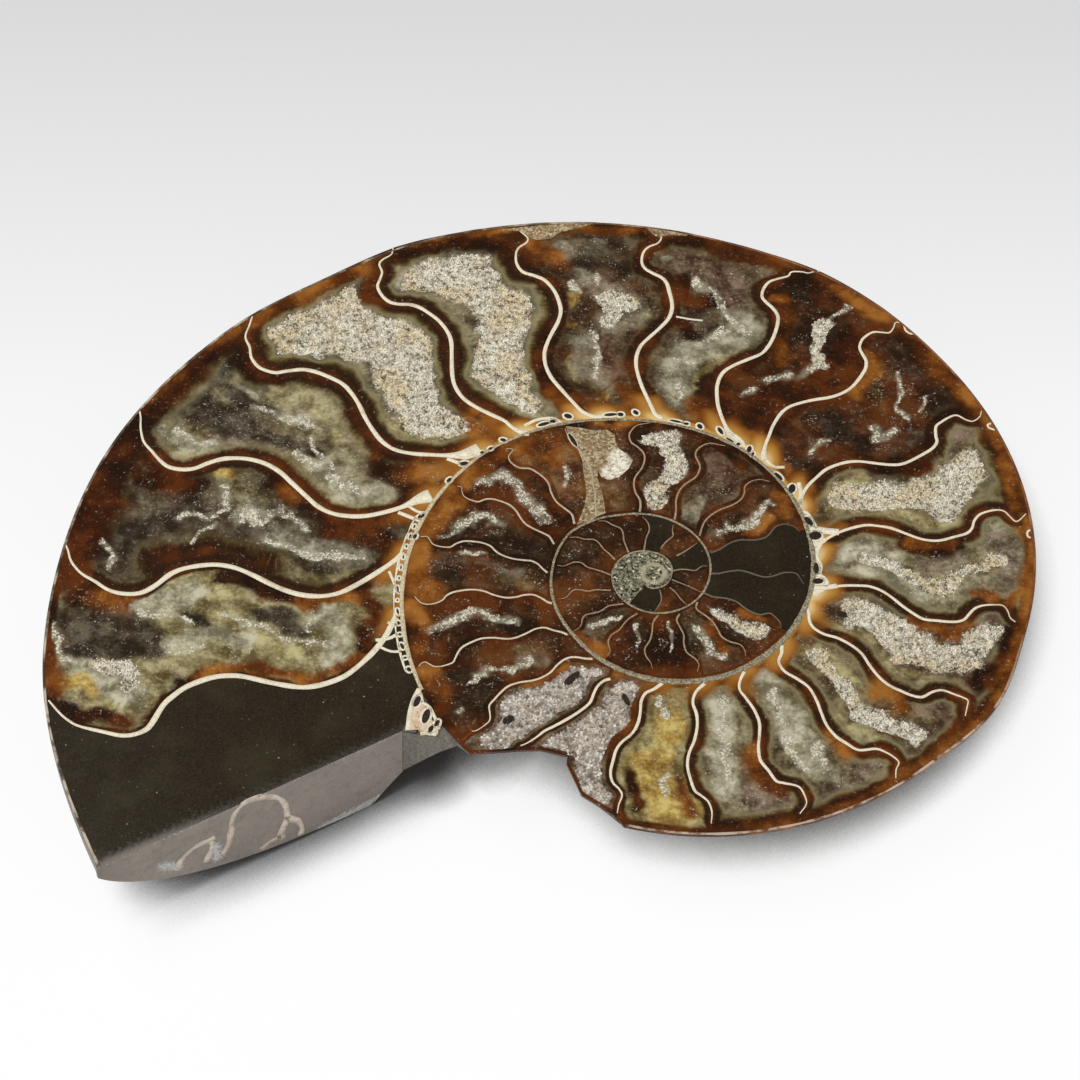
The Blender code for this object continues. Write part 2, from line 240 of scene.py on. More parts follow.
# Each septum from the outer wall to the inner one, youngest first.
SEPTA = (
    ((-82.4, -25.9), (-80.8, -27.8), (-79.5, -29), (-77.8, -30), (-74, -30.9), (-72, -31.3), (-70.3, -31.1),
     (-68.8, -30.3), (-68, -29.2), (-66.7, -26), (-65.5, -24.4), (-64, -22.9), (-62, -21.7), (-60, -20.9),
     (-58, -20.6), (-56, -20.7), (-52, -21.6), (-48.5, -22.1), (-46.5, -21.9), (-44.5, -21.2),
     (-42.5, -20.1), (-41, -18.7), (-39.5, -16.9), (-38.2, -15), (-37, -12.7), (-36.2, -10.5), (-35.8, -9.5)),
    ((-83.4, 1.6), (-82.7, 0.2), (-82, -1.8), (-80.4, -3.8), (-78.4, -5.1), (-76.4, -6.5), (-74.5, -7.1),
     (-72.5, -7.1), (-71, -6.5), (-69.5, -5.2), (-68, -3.5), (-66.3, -2.4), (-64, -1.7), (-61.5, -1.4),
     (-59, -1.8), (-56.5, -2.9), (-54, -4.3), (-52, -5.3), (-50, -6), (-48, -6.3), (-46, -6.2), (-44, -5.6),
     (-42, -4.3), (-40, -2.7), (-38, -0.9), (-36.3, 0.8), (-35.3, 2)),
    ((-75.2, 26.4), (-74.9, 25), (-74.7, 23), (-74, 20.6), (-72.6, 18.8), (-71.4, 17.3), (-70, 16.1),
     (-68, 15.7), (-66.2, 16), (-64.5, 17), (-62.5, 17.9), (-60.3, 18.2), (-58, 18), (-55.8, 17.2),
     (-53.8, 15.8), (-52, 13.9), (-50, 11.8), (-48, 9.8), (-46, 8.7), (-44, 8.3), (-42, 8.3), (-40, 8.7),
     (-37.5, 9.6), (-35.5, 10.6), (-33.7, 11.8), (-32, 12.6)),
    ((-60.3, 45.8), (-60.6, 44), (-61, 41.6), (-60.2, 39.6), (-59.8, 37.6), (-58.6, 35.8), (-57, 35),
     (-55.8, 34.8), (-54.3, 35.2), (-52, 35.6), (-50, 35.2), (-48, 34.3), (-46, 33.1), (-44.6, 31.4),
     (-43.4, 29.3), (-42.3, 26.8), (-41, 24.4), (-39.5, 22.3), (-37.6, 20.9), (-35, 20.3), (-32, 20.2),
     (-30, 20.2), (-28, 20.4), (-26, 21.2), (-25.3, 21.6)),
    ((-40.1, 60.9), (-40.3, 59.4), (-41.5, 58.3), (-42, 57.3), (-41.5, 55.7), (-41.7, 54.3), (-42, 52.8),
     (-41.4, 51.2), (-40.2, 49.8), (-38.7, 49.3), (-37, 49.3), (-35.5, 48.8), (-34, 47.7), (-32.4, 46.2),
     (-31, 44), (-30.4, 42), (-30.2, 39), (-30, 36), (-29.5, 33.6), (-28.3, 31.4), (-26.5, 29.8),
     (-24, 28.3), (-22, 27.2), (-20.7, 25.9), (-19.3, 25.1), (-18.3, 25)),
    ((-21.5, 65.8), (-19.8, 64), (-19.9, 62.9), (-21, 61.8), (-21.4, 60.4), (-21.2, 58.4), (-20.2, 56.8),
     (-18.4, 56.1), (-16.8, 55.2), (-15.4, 53.2), (-14.6, 51), (-14.3, 49), (-14.7, 46.8), (-15.6, 44.4),
     (-16.3, 42), (-16.5, 40.2), (-16.2, 38), (-15.3, 35.8), (-13.8, 33.6), (-12, 31.2), (-10.6, 29.5),
     (-9, 28.7), (-7.5, 28.7)),
    ((3.1, 65.9), (1.9, 65.7), (0.8, 65.6), (0.55, 64.5), (0, 63.7), (-1.2, 63), (-1.95, 62), (-2.25, 60.7),
     (-2.2, 59.4), (-1.7, 58.4), (-0.5, 57.5), (0.8, 56.7), (1.55, 55.6), (2, 53.7), (2.35, 51.8),
     (2.35, 50.1), (1.8, 48.3), (0.45, 46.3), (-1, 44.5), (-2.2, 42.8), (-2.8, 40.8), (-2.85, 38.8),
     (-2.5, 36.8), (-1.95, 34.8), (-1.3, 33), (-0.5, 30.9), (0.1, 29.5), (1.1, 28.8)),
    ((24.8, 59.3), (23.8, 59.1), (23, 58.8), (22, 59), (20.5, 58.9), (19.9, 58), (18.2, 57.3), (17, 56.6),
     (16.2, 55.2), (15.95, 53.7), (16.4, 52.7), (17.5, 51.4), (18.2, 50.1), (18.3, 48.8), (18, 47.1),
     (17.5, 45.3), (16.7, 43.5), (15.7, 42.1), (13.9, 41), (11.9, 39.8), (10.4, 38.6), (9.6, 37.3),
     (9.15, 35.5), (9.1, 33.8), (9.25, 31.8), (9.6, 30.2), (10.1, 28.5), (10.9, 26.5), (12.1, 24.9)),
    ((36.8, 49.3), (35.95, 49.4), (35.6, 48.3), (34.95, 47.3), (33.8, 47.3), (32.6, 47.3), (31.6, 46.6),
     (30.8, 45.6), (30.4, 44.1), (30.8, 42.8), (31.3, 41.5), (31.2, 40.1), (30.65, 38.8), (29.8, 37.3),
     (28.65, 35.8), (27.15, 34.7), (25.5, 34), (23.5, 33.5), (21.5, 32.8), (19.85, 32), (18.7, 30.9),
     (17.9, 29.5), (17.2, 27.9), (16.7, 26.2), (16.2, 24.6), (15.9, 22.9), (15.95, 21.7)),
    ((48, 32.5), (47.7, 31.4), (46.7, 30.5), (45.7, 30.7), (44.4, 31.5), (43.4, 31.2), (42.1, 30.2),
     (41.2, 29.2), (41.1, 27.5), (41.2, 26.2), (40.4, 24.9), (38.8, 23.6), (37.1, 22.4), (35.6, 21.7),
     (33.8, 21.6), (31.8, 21.8), (29.8, 22), (28.1, 21.8), (26.5, 21.2), (24.85, 20.2), (23.5, 18.7),
     (22.3, 17.2), (21.5, 15.6), (20.8, 13.4)),
    ((53.5, 13.4), (52.1, 11.9), (51.2, 12.7), (50.5, 13.6), (49.7, 13.9), (48.4, 13.7), (46.9, 13),
     (46, 11.8), (45.6, 10.4), (44.8, 9.4), (43.1, 8.7), (41.3, 8), (39.8, 7.8), (38, 8.1), (36.1, 8.9),
     (34, 9.8), (32.3, 10.1), (30.6, 10.2), (29, 9.8), (27.1, 9), (25.5, 8), (24.3, 7), (23.5, 5.7),
     (23.1, 4.3)),
    ((50.9, -6.2), (50.2, -5.5), (49.9, -4.3), (49.3, -3.4), (48.1, -3.3), (46.5, -3.5), (45.3, -4.1),
     (44.4, -5.2), (43.6, -6.2), (42.2, -6.6), (39.9, -6.5), (38, -6.3), (36.5, -5.3), (35.1, -4.1),
     (33.7, -2.7), (32.3, -1.6), (30.7, -0.9), (29.2, -0.8), (27.1, -0.9), (25, -1.3), (23.6, -1.9),
     (22.6, -2.7)),
    ((43.1, -22.7), (43.4, -21.3), (43.6, -20.1), (42.9, -19.6), (41.7, -19.1), (40.1, -18.5),
     (38.7, -18.9), (37.3, -19.8), (35.9, -19.6), (34.4, -18.9), (32.8, -18), (31.4, -16.6), (30.2, -14.7),
     (29.2, -12.8), (27.8, -11.4), (25.9, -10.2), (24, -9.6), (22.6, -8.6), (22, -7.4), (21.9, -5.9),
     (21.5, -4.8)),
    ((33.2, -33.5), (33.3, -32.1), (33.7, -30.9), (33, -30), (31.8, -29.2), (30.6, -28.8), (28.3, -29.1),
     (26.7, -28.1), (25.2, -26.9), (24, -25.1), (23.3, -23), (22.7, -21), (21.7, -18.9), (20.1, -17.5),
     (18.4, -16.3), (17.6, -14.7), (18, -13.2), (18.05, -11.8)),
    ((20.1, -39.9), (21, -38.3), (20.8, -36.9), (20, -35.5), (18, -35), (17, -34.7), (16, -33.1),
     (14.9, -31.4), (14.65, -29.3), (14.8, -27.2), (14.8, -25.1), (14.1, -23), (13, -21.1), (12.15, -19.7),
     (12.2, -18.2), (12.8, -16.6)),
    ((8.2, -42), (8.3, -40.1), (7.8, -38.5), (6.8, -37.5), (6, -36.8), (5.4, -34.9), (5, -32.8),
     (5.2, -30.7), (5.9, -28.6), (6.3, -26.2), (6.2, -24.1), (5.7, -22.2), (6.1, -20.4), (7.3, -18.9)),
    ((-4.4, -40.9), (-4.2, -39.5), (-3.8, -38), (-4.2, -37), (-5.1, -35.9), (-5.4, -34.3), (-5.1, -32.4),
     (-4.7, -30.6), (-3.9, -29.2), (-2.6, -27.8), (-1.8, -26), (-1.5, -24.1), (-1.4, -22.3), (-0.8, -20.9),
     (0.3, -20.2), (1.5, -19.1)),
    ((-17.7, -30.5), (-16.8, -30), (-15.6, -29), (-14.5, -27.9), (-13.3, -27.1), (-11.9, -26.1),
     (-10.5, -25), (-9.4, -24), (-8.4, -22.8), (-7.9, -21.2), (-7.4, -20), (-6.6, -19.1), (-5.7, -18.7)),
    ((-24.4, -28.4), (-23.7, -28.2), (-22.3, -26.9), (-22, -26.1), (-22.1, -25.1), (-22.2, -24),
     (-21.6, -23), (-20.7, -21.7), (-19.7, -20.6), (-18.2, -19.9), (-16.5, -19.5), (-15.3, -19),
     (-14, -18), (-13.1, -16.7), (-12, -15.6), (-10.8, -15.2), (-9.1, -15.4), (-8.2, -15.4)),
    ((-32.2, -17.8), (-31.9, -17.3), (-31.4, -17), (-30.8, -17.3), (-30.1, -17.7), (-29.3, -17.7),
     (-28.4, -17.4), (-27.5, -16.9), (-27.2, -16.1), (-26.8, -15), (-26.2, -14.1), (-24.9, -13.2),
     (-23.7, -12.6), (-22.1, -12.4), (-20.2, -12.5), (-18.9, -12.2), (-17.5, -11.4), (-16.3, -10.6),
     (-15, -10.3), (-13.8, -10.7), (-12.6, -11), (-11.8, -11.4)),
    ((-33.4, -5.7), (-33, -6.2), (-32.4, -6.8), (-31.4, -7), (-30.3, -6.7), (-29.4, -6.1), (-28.9, -5.3),
     (-28, -4.7), (-26.7, -4.3), (-25.2, -4.1), (-23.7, -4.3), (-22.3, -4.9), (-20.6, -5.3), (-19.1, -5.1),
     (-18, -4.7), (-16.8, -4.6), (-15.7, -5.1), (-14.7, -5.8), (-14.1, -6)),
    ((-33.1, 5), (-32.2, 5.1), (-31.8, 4.6), (-31.4, 3.9), (-30.7, 3.5), (-29.6, 3.3), (-28.7, 3.4),
     (-28, 4), (-26.9, 4.5), (-25.4, 4.5), (-24.2, 4.3), (-23.1, 3.8), (-22.3, 2.9), (-21.3, 2.2),
     (-19.9, 1.7), (-18.5, 1.5), (-17.2, 1.4), (-16.3, 0.9), (-15.6, 0.1), (-14.9, -0.6)),
    ((-28.3, 14.5), (-27.7, 14.4), (-27.6, 13.7), (-27.3, 12.8), (-26.5, 12.2), (-25.2, 11.8),
     (-24.2, 12.3), (-23.1, 12.4), (-21.8, 12), (-20.6, 11.4), (-19.7, 10.4), (-19.1, 9.3), (-18.3, 8.1),
     (-17.2, 7.3), (-15.7, 6.5), (-14.8, 5.9), (-14.1, 4.6)),
    ((-21.5, 21.9), (-20.7, 21.9), (-20.6, 21.5), (-21, 20.8), (-21.1, 20.1), (-20.6, 19.2), (-19.5, 18.4),
     (-18, 18.3), (-17, 17.7), (-15.7, 16.5), (-15.1, 15.4), (-14.8, 14.1), (-14, 12.4), (-12.8, 11.2),
     (-11.7, 10.1), (-11.3, 8.4)),
    ((-13.1, 26.2), (-12.7, 25), (-12, 23.7), (-11, 22.3), (-10, 20.6), (-9.3, 19), (-8.9, 17.5),
     (-8.8, 16), (-8.5, 14.5), (-8.4, 12.8), (-8.3, 11.3), (-8.2, 10)),
    ((-0.6, 27.9), (-2.5, 27.3), (-3.3, 26.4), (-3.7, 25.3), (-3.4, 24), (-2.5, 23.2), (-1.6, 22.1),
     (-1.4, 20.8), (-1.8, 19.2), (-2.7, 17.5), (-2.9, 16), (-2.6, 14.5), (-2, 13.3), (-1.9, 12),
     (-2, 11.1)),
    ((10.3, 24.0), (9.2, 24.2), (8.1, 24.4), (6.9, 23.8), (6.1, 22.8), (6, 21.8), (6.5, 20.5),
     (6.6, 19.5), (6, 17.9), (4.6, 16.6), (3.7, 15.3), (3.2, 13.5), (3.2, 11.5), (3, 9.9)),
    ((16.7, 17.6), (15.3, 17.9), (13.9, 17.4), (13.1, 16.4), (13, 15.1), (12.3, 13.8), (11, 12.8),
     (9.5, 12), (8.2, 10.9), (7.3, 9.7), (6.8, 8.1), (6.6, 7.1)),
    ((20.8, 8.6), (20.1, 9.4), (18.8, 9.8), (17.5, 9.3), (16.7, 8.1), (15.9, 7.2), (14.4, 6.7),
     (12.3, 6.6), (10.8, 5.9), (9.5, 4.8), (8.2, 4.1)),
    ((21.3, -0.9), (20.8, 0.1), (20.3, 0.9), (19.3, 1.1), (18.2, 0.9), (17.2, 0.4), (15.9, 0.1),
     (14.6, 0.4), (13.3, 0.9), (12.1, 1.1), (10.5, 0.8), (9.2, 0.4), (8.2, 0.4)),
    ((18, -8.9), (17.9, -7.9), (17.2, -6.9), (16.4, -6.3), (15.1, -6.6), (13.9, -6.2), (12.8, -5.4),
     (11.8, -4.5), (10.5, -4), (8.7, -3.8), (7.9, -3.5), (7.1, -3.1)),
    ((13, -13.9), (12.9, -13), (12.3, -12), (10.8, -11.5), (9.7, -10.7), (9.1, -9.4), (8.4, -8.1),
     (7.4, -7.1), (6.4, -6.3), (6.1, -5.7), (6.3, -4.8)),
    ((6.3, -16.9), (6.5, -15.6), (5.9, -14.6), (4.8, -13.6), (4.4, -12), (4.4, -10.7), (3.9, -9.4),
     (3.4, -8.1), (3.8, -7)),
    ((0.1, -16.7), (-0.2, -15.6), (-0.8, -14.6), (-1, -13.3), (-0.3, -11.8), (0, -10.2), (0.1, -8.7),
     (0.8, -7.4)),
    ((-6.2, -14.9), (-5.8, -14), (-6.1, -12.5), (-5.7, -11.2), (-4.6, -10.2), (-3.9, -9), (-3.2, -8.1),
     (-2.1, -7.2)),
    ((-10.9, -10.6), (-10.3, -10.2), (-9.9, -9.5), (-9.8, -8.6), (-9.3, -7.8), (-8.1, -7.4), (-7.2, -7),
     (-6.2, -6.1), (-5, -5.8), (-4.1, -5.6)),
    ((-13.2, -5.2), (-12.2, -4.9), (-11.7, -4.2), (-11.1, -3.5), (-10.3, -3.4), (-9.1, -3.6), (-8, -3.3),
     (-6.8, -3.3), (-5.9, -3.3)),
    ((-13.5, 0.8), (-12.7, 0.7), (-11.9, 1.1), (-11.1, 1.5), (-10.1, 1.4), (-9.3, 0.7), (-8.1, 0.3),
     (-7, -0.1), (-5.9, -0.6)),
    ((-11.9, 5.9), (-10.8, 6), (-9.8, 5.7), (-8.5, 5.7), (-7.8, 5.2), (-7, 4), (-6.2, 3.2), (-5.4, 2.2)),
    ((-7.9, 9.1), (-6.8, 9.1), (-5.9, 8.5), (-4.7, 7.9), (-4.3, 6.9), (-4.2, 5.8), (-3.8, 4.5),
     (-3.5, 3.6)),
    ((-1.6, 10.2), (-0.8, 9.1), (-0.6, 7.8), (-1, 6.4), (-1.2, 5), (-1.3, 3.9)),
    ((2.8, 8.9), (2.7, 7.8), (2.8, 6.9), (2.1, 6.1), (1.5, 5.3), (1.1, 4.5)),
    ((6.2, 5.7), (5.2, 4.8), (4.3, 4), (3.3, 3.3)),
    ((7.7, 1.7), (6.9, 1.6), (6, 0.8), (4.9, 0.9), (3.9, 0.9), (2.9, 0.6)),
    ((6.9, -3.1), (5.9, -2.5), (4.9, -2), (3.8, -1.5), (2.7, -1)),
    ((4.8, -5.4), (3.9, -4.3), (3.2, -3.2), (2.4, -2.4)),
    ((0.2, -6.9), (1.1, -5.2), (1.2, -4), (1, -2.9)),
    ((-4.3, -5.3), (-3.2, -4.4), (-2.2, -3.5), (-1.4, -2.8)),
)

# ------------------------------------------------------------------ how each chamber is filled

# A filling has a dark lining, a ground inside it, and strokes: (kind, reach to each side, route).
# The lining's widths are by the younger septum, the older one, the outer wall and the inner one.
Filling = namedtuple("Filling", "lining ground strokes")
# The last two fillings of the outer whorl are open, with crystals on bare rock.
OPEN_CHAMBERS = (17, 18)
ROCK_CHAMBERS = (29, 30, 41, 43, 47)
FILLINGS = {
    1: Filling((1.0, 1.0, 1.6, 1.0), {"olive": 0.6, "milk": 0.25}, (
        ("smoke", 3.5, ((-81, -13), (-76, -14.5), (-71, -14))),
        ("smoke", 2.0, ((-80, -16), (-76, -17), (-68, -17))),
        ("smoke", 1.5, ((-65.5, -11), (-63, -12))),
        ("smoke", 1.7, ((-54, -10.2), (-51, -10.5), (-48.5, -12))),
        ("brown", 4.2, ((-82, -3), (-80, -7), (-75, -8.5))),
        ("mauve", 2.4, ((-75.5, -11), (-73, -12))),
        ("amber", 2.0, ((-77, -8.2), (-74, -9))),
        ("amber", 1.8, ((-83, -15), (-82.5, -20), (-81, -24))),
        ("gold", 1.4, ((-82, -23), (-78.5, -22.5), (-77, -24))),
        ("brown", 1.6, ((-80.5, -27), (-76, -28.5), (-72, -29))),
        ("rind", 2.2, ((-60, -3), (-58, -3.6))),
        ("brown", 2.0, ((-56, -4.5), (-49, -7.2))),
        ("amber", 1.6, ((-49, -7.3), (-42, -5.5))),
        ("brown", 2.2, ((-40, -5), (-38.5, -9), (-39.5, -15))),
        ("brown", 1.3, ((-69, -29), (-66.5, -24.5), (-62, -20.3))),
        ("amber", 1.1, ((-62, -20.3), (-56, -19.3), (-46, -20.5), (-40, -16.5))),
        ("milk", 2.8, ((-71, -8.5), (-67, -8), (-64, -6))),
        ("milk", 2.6, ((-46, -9.5), (-43.5, -12), (-44, -16))),
        ("milk", 2.0, ((-68, -15.5), (-62, -14), (-56, -14.5))),
        ("milk", 3.0, ((-78, -19.5), (-75, -22.5), (-72, -24))),
        ("olive", 3.0, ((-62, -4.5), (-59, -9), (-60, -14), (-50, -16))),
        ("olive", 2.4, ((-72, -26.5), (-76, -25.5))),
        ("milk", 1.6, ((-79.5, -27), (-79.3, -26.8))),
        ("druse", 1.5, ((-76, -19.5), (-73, -20), (-71.5, -22))),
        ("veil", 0.7, ((-72, -10.2), (-69, -11), (-67, -10.5), (-65, -12.2))),
        ("veil", 0.6, ((-59.5, -10.5), (-56, -11.5), (-52, -13.2), (-46, -14.3))),
        ("veil", 0.6, ((-48.5, -8.5), (-47.7, -12))),
        ("veil", 0.8, ((-83.2, -13), (-81.5, -17), (-79, -19))),
        ("veil", 0.5, ((-68.5, -15), (-66, -17.5), (-62, -16.5))),
    )),
    2: Filling((1.9, 2.2, 6.0, 1.5), {"smoke": 0.55, "milk": 0.12}, (
        ("brown", 4.0, ((-79, 17), (-78, 10), (-80, 3), (-82, -1))),
        ("brown", 2.8, ((-73, 14.5), (-69, 13), (-66, 12.5))),
        ("rind", 3.2, ((-70, -1.5), (-66, 0.5), (-60, 1), (-55, -1.2))),
        ("smoke", 3.0, ((-76, 3), (-70, 6), (-66, 8))),
        ("mauve", 2.6, ((-76, 8), (-72, 5), (-68, 9))),
        ("smoke", 2.6, ((-64, 6), (-60, 4.5), (-56, 5))),
        ("milk", 2.4, ((-58, 9), (-53, 4), (-48, 2), (-42, 1))),
        ("olive", 2.8, ((-62, 15.5), (-59.5, 13), (-57, 9.5))),
        ("gold", 1.1, ((-63, 16), (-61.6, 15))),
        ("olive", 1.6, ((-53, -2), (-46, -3.2), (-42, -2.2))),
        ("brown", 2.6, ((-54, 14), (-50, 11), (-47, 8.5))),
        ("amber", 1.5, ((-53.5, 12), (-51.5, 10.3))),
        ("brown", 3.0, ((-46, 6), (-41, 6), (-37, 3))),
        ("amber", 1.5, ((-38, 7), (-35, 8.5))),
        ("veil", 0.6, ((-68, 6.3), (-64, 7.3), (-61.5, 9), (-62, 12.5))),
        ("veil", 0.5, ((-66, 3), (-63, 6.5))),
        ("veil", 0.8, ((-60, 8.5), (-56, 6.5), (-53, 9), (-50, 6))),
        ("veil", 0.7, ((-55, 4), (-50, 1.2), (-42, 1))),
        ("veil", 0.6, ((-78.5, 2), (-77, 0), (-76.5, -3))),
    )),
    3: Filling((1.9, 2.4, 3.6, 1.5), {"milk": 0.35, "olive": 0.4}, (
        ("smoke", 3.4, ((-68, 28), (-64, 26), (-60, 24.5))),
        ("smoke", 1.6, ((-63, 31), (-60, 28.5), (-56, 27))),
        ("smoke", 2.4, ((-66, 33), (-63, 36))),
        ("smoke", 1.5, ((-58, 22.5), (-52, 21), (-49, 19))),
        ("mauve", 2.0, ((-64, 22.5), (-58, 22), (-54, 21))),
        ("milk", 1.0, ((-71.3, 27), (-71.2, 22))),
        ("milk", 1.9, ((-70, 21), (-67.5, 19.8), (-64, 20.3))),
        ("milk", 1.3, ((-61, 31.5), (-58.8, 30))),
        ("milk", 1.0, ((-57, 27.6), (-52, 25.6))),
        ("milk", 2.6, ((-47.5, 16.5), (-43.5, 13), (-39, 12))),
        ("olive", 2.3, ((-55, 31), (-50.5, 30.5), (-47.5, 27), (-46, 23.5))),
        ("olive", 1.8, ((-66.8, 17.8), (-68, 19))),
        ("olive", 1.8, ((-48, 12.8), (-42, 10.7), (-37.5, 11))),
        ("brown", 3.4, ((-74, 25), (-72, 31), (-66, 38.5), (-61.5, 43))),
        ("brown", 2.5, ((-61, 36.5), (-57, 33.5))),
        ("brown", 3.2, ((-40, 17.5), (-36.5, 15), (-34, 14))),
        ("amber", 2.4, ((-36, 16.5), (-31, 16.5), (-28, 18.5))),
        ("veil", 0.6, ((-69.5, 22.8), (-67.5, 21.3), (-63.5, 20.8))),
        ("veil", 0.7, ((-58.5, 27.8), (-54.5, 26.4), (-50.5, 25))),
        ("veil", 0.5, ((-50.5, 23), (-48.5, 18.5), (-46.5, 17))),
        ("veil", 0.9, ((-52, 19), (-49.5, 17))),
        ("veil", 0.8, ((-47, 15.5), (-42, 13.2))),
    )),
    4: Filling((2.2, 2.0, 2.6, 1.2), {"milk": 0.3, "olive": 0.35}, (
        ("amber", 2.8, ((-60, 46), (-55, 50), (-50, 54), (-46, 57))),
        ("brown", 3.0, ((-45, 58), (-43, 55), (-43.5, 51))),
        ("mauve", 2.2, ((-46, 54), (-43.5, 51), (-41, 48))),
        ("druse", 5.5, ((-55.5, 43), (-50, 45.5), (-47, 48.5))),
        ("druse", 5.5, ((-53, 41), (-46, 42.5), (-40, 43), (-36, 40), (-34, 35))),
        ("druse", 4.6, ((-38, 36), (-35, 31), (-31.5, 26.3))),
        ("olive", 1.4, ((-41.5, 30), (-38.5, 25), (-34, 22.6), (-29, 22.6))),
        ("amber", 3.0, ((-27.5, 27), (-24.5, 25), (-21, 26))),
        ("amber", 2.0, ((-26, 29), (-22.5, 28))),
    )),
    5: Filling((2.0, 2.2, 2.9, 1.2), {"milk": 0.3, "olive": 0.35}, (
        ("brown", 2.6, ((-39, 60), (-33, 62), (-27, 63), (-22, 61))),
        ("mauve", 1.6, ((-32, 61), (-26, 61.5))),
        ("amber", 1.0, ((-38, 61.5), (-30, 64.5), (-23, 65.5))),
        ("milk", 1.2, ((-38, 57), (-39, 53.5))),
        ("druse", 4.0, ((-36, 55), (-30, 57), (-26, 57))),
        ("druse", 4.6, ((-29, 54), (-23, 50), (-22, 46))),
        ("druse", 4.2, ((-23, 42), (-23.5, 37), (-20.5, 32))),
        ("milk", 1.2, ((-18, 53), (-16.8, 49), (-18, 43.5))),
        ("olive", 2.0, ((-26.5, 32), (-22.5, 29.6), (-18.5, 28.2))),
        ("brown", 1.6, ((-16.5, 44), (-17.5, 38), (-16, 33))),
        ("amber", 2.2, ((-15, 33.5), (-13.5, 30.5), (-11, 29))),
    )),
    6: Filling((1.6, 1.6, 2.4, 1.5), {"brown": 0.55, "mauve": 0.2}, (
        ("amber", 1.9, ((-19, 63.8), (-16.5, 61), (-15, 58))),
        ("amber", 1.3, ((-16, 66), (-10, 66.5), (-4, 66))),
        ("rind", 2.4, ((-20.5, 61), (-19, 59.5))),
        ("milk", 1.6, ((-15.5, 59.5), (-13.5, 62), (-8, 62.6))),
        ("smoke", 2.4, ((-12, 60), (-8, 58.5), (-6, 56.5))),
        ("milk", 2.8, ((-10.5, 56.5), (-5, 53), (-3.5, 49), (-7.5, 46.5))),
        ("olive", 1.3, ((-2.5, 52), (-1.5, 48.5))),
        ("druse", 1.9, ((-7.5, 52.5), (-4.5, 51.5))),
        ("druse", 1.5, ((-7, 49.5), (-6, 48.5), (-7.6, 46.9))),
        ("gold", 1.4, ((-14, 51.8), (-12.3, 51.8))),
        ("gold", 0.7, ((-14.4, 47.5), (-12.5, 46.8))),
        ("milk", 1.9, ((-11.5, 43.5), (-10.3, 39), (-7.5, 35.2))),
        ("mauve", 1.8, ((-7, 43), (-6, 38), (-6.5, 36))),
        ("olive", 1.2, ((-12, 39), (-10.5, 36), (-8, 33.6))),
        ("gold", 0.5, ((-7.5, 33), (-7.8, 31.5))),
        ("amber", 2.2, ((-4.5, 33.5), (-2, 31), (-4, 30.2))),
        ("veil", 0.6, ((-9.5, 44.5), (-8.6, 40.5), (-8.8, 36))),
        ("veil", 0.5, ((-10, 57.5), (-9, 55.5))),
        ("veil", 0.6, ((-13, 54.5), (-12, 53))),
    )),
    7: Filling((1.8, 1.6, 3.4, 1.5), {"brown": 0.35, "milk": 0.2}, (
        ("mauve", 3.6, ((5, 60), (9, 58.5), (11, 54))),
        ("smoke", 1.8, ((6, 50.5), (8, 47.5))),
        ("brown", 2.2, ((3.5, 56), (5, 52.5), (9, 51.5))),
        ("brown", 2.0, ((3.4, 48.5), (5, 46))),
        ("milk", 0.9, ((1.5, 60.4), (1.7, 60.2))),
        ("milk", 2.7, ((12.5, 49), (13.5, 47), (10.5, 44.3), (5, 42), (3, 38.5), (3.6, 33.8))),
        ("veil", 0.7, ((6, 56), (8.5, 54), (9.8, 50.5), (11.5, 48), (13.5, 46.3))),
        ("veil", 0.6, ((6, 43.5), (8, 44.6), (10.4, 46.6))),
        ("veil", 0.6, ((2.6, 40.5), (5, 39.8))),
        ("veil", 0.9, ((3, 35.6), (4, 33.5))),
        ("olive", 1.0, ((14, 45.5), (10, 42), (6.5, 38), (6, 34))),
        ("amber", 2.4, ((5.5, 31), (7.6, 30), (8.6, 27.6))),
        ("rind", 2.2, ((8, 36.5), (7.2, 33))),
    )),
    8: Filling((2.4, 1.7, 4.5, 1.5), {"brown": 0.8}, (
        ("rind", 3.2, ((28.5, 45), (28, 41), (26, 38), (20, 35), (15, 31), (13, 28))),
        ("smoke", 1.8, ((27, 43), (27, 39))),
        ("smoke", 1.8, ((14, 33.5), (18, 34.5), (24, 37.5))),
        ("milk", 1.1, ((23.5, 38), (26, 38.5))),
        ("milk", 1.1, ((13.5, 34), (14.5, 32))),
        ("amber", 1.5, ((17.8, 44), (18.8, 41.5))),
        ("amber", 1.8, ((27, 56), (31, 52.5), (34.5, 50))),
        ("amber", 1.0, ((19.8, 53.5), (17.6, 53))),
        ("amber", 2.0, ((12, 26.8), (14.2, 25.8), (15, 24))),
        ("druse", 1.0, ((25.4, 48.9), (24.4, 46.5), (24.3, 43.5))),
        ("druse", 1.4, ((24.6, 42), (24.6, 40.4))),
        ("veil", 0.9, ((24, 40), (21.5, 38.7))),
        ("veil", 0.9, ((19.5, 38.5), (16.3, 36.3))),
        ("veil", 0.7, ((14.5, 34.7), (13.8, 34.2))),
        ("veil", 0.4, ((28.5, 52.5), (26, 50))),
    )),
    9: Filling((1.8, 1.8, 4.0, 1.4), {"brown": 0.75}, (
        ("amber", 1.8, ((32.2, 42), (31.4, 38), (29.5, 35.6))),
        ("amber", 3.0, ((41, 44), (45, 39), (48.5, 33.5))),
        ("mauve", 2.4, ((35, 44), (39, 40), (40, 35))),
        ("gold", 0.9, ((33, 34.8), (33.4, 32))),
        ("smoke", 1.8, ((35.5, 36), (35, 31))),
        ("smoke", 2.0, ((24, 27), (30, 27.2), (36, 27))),
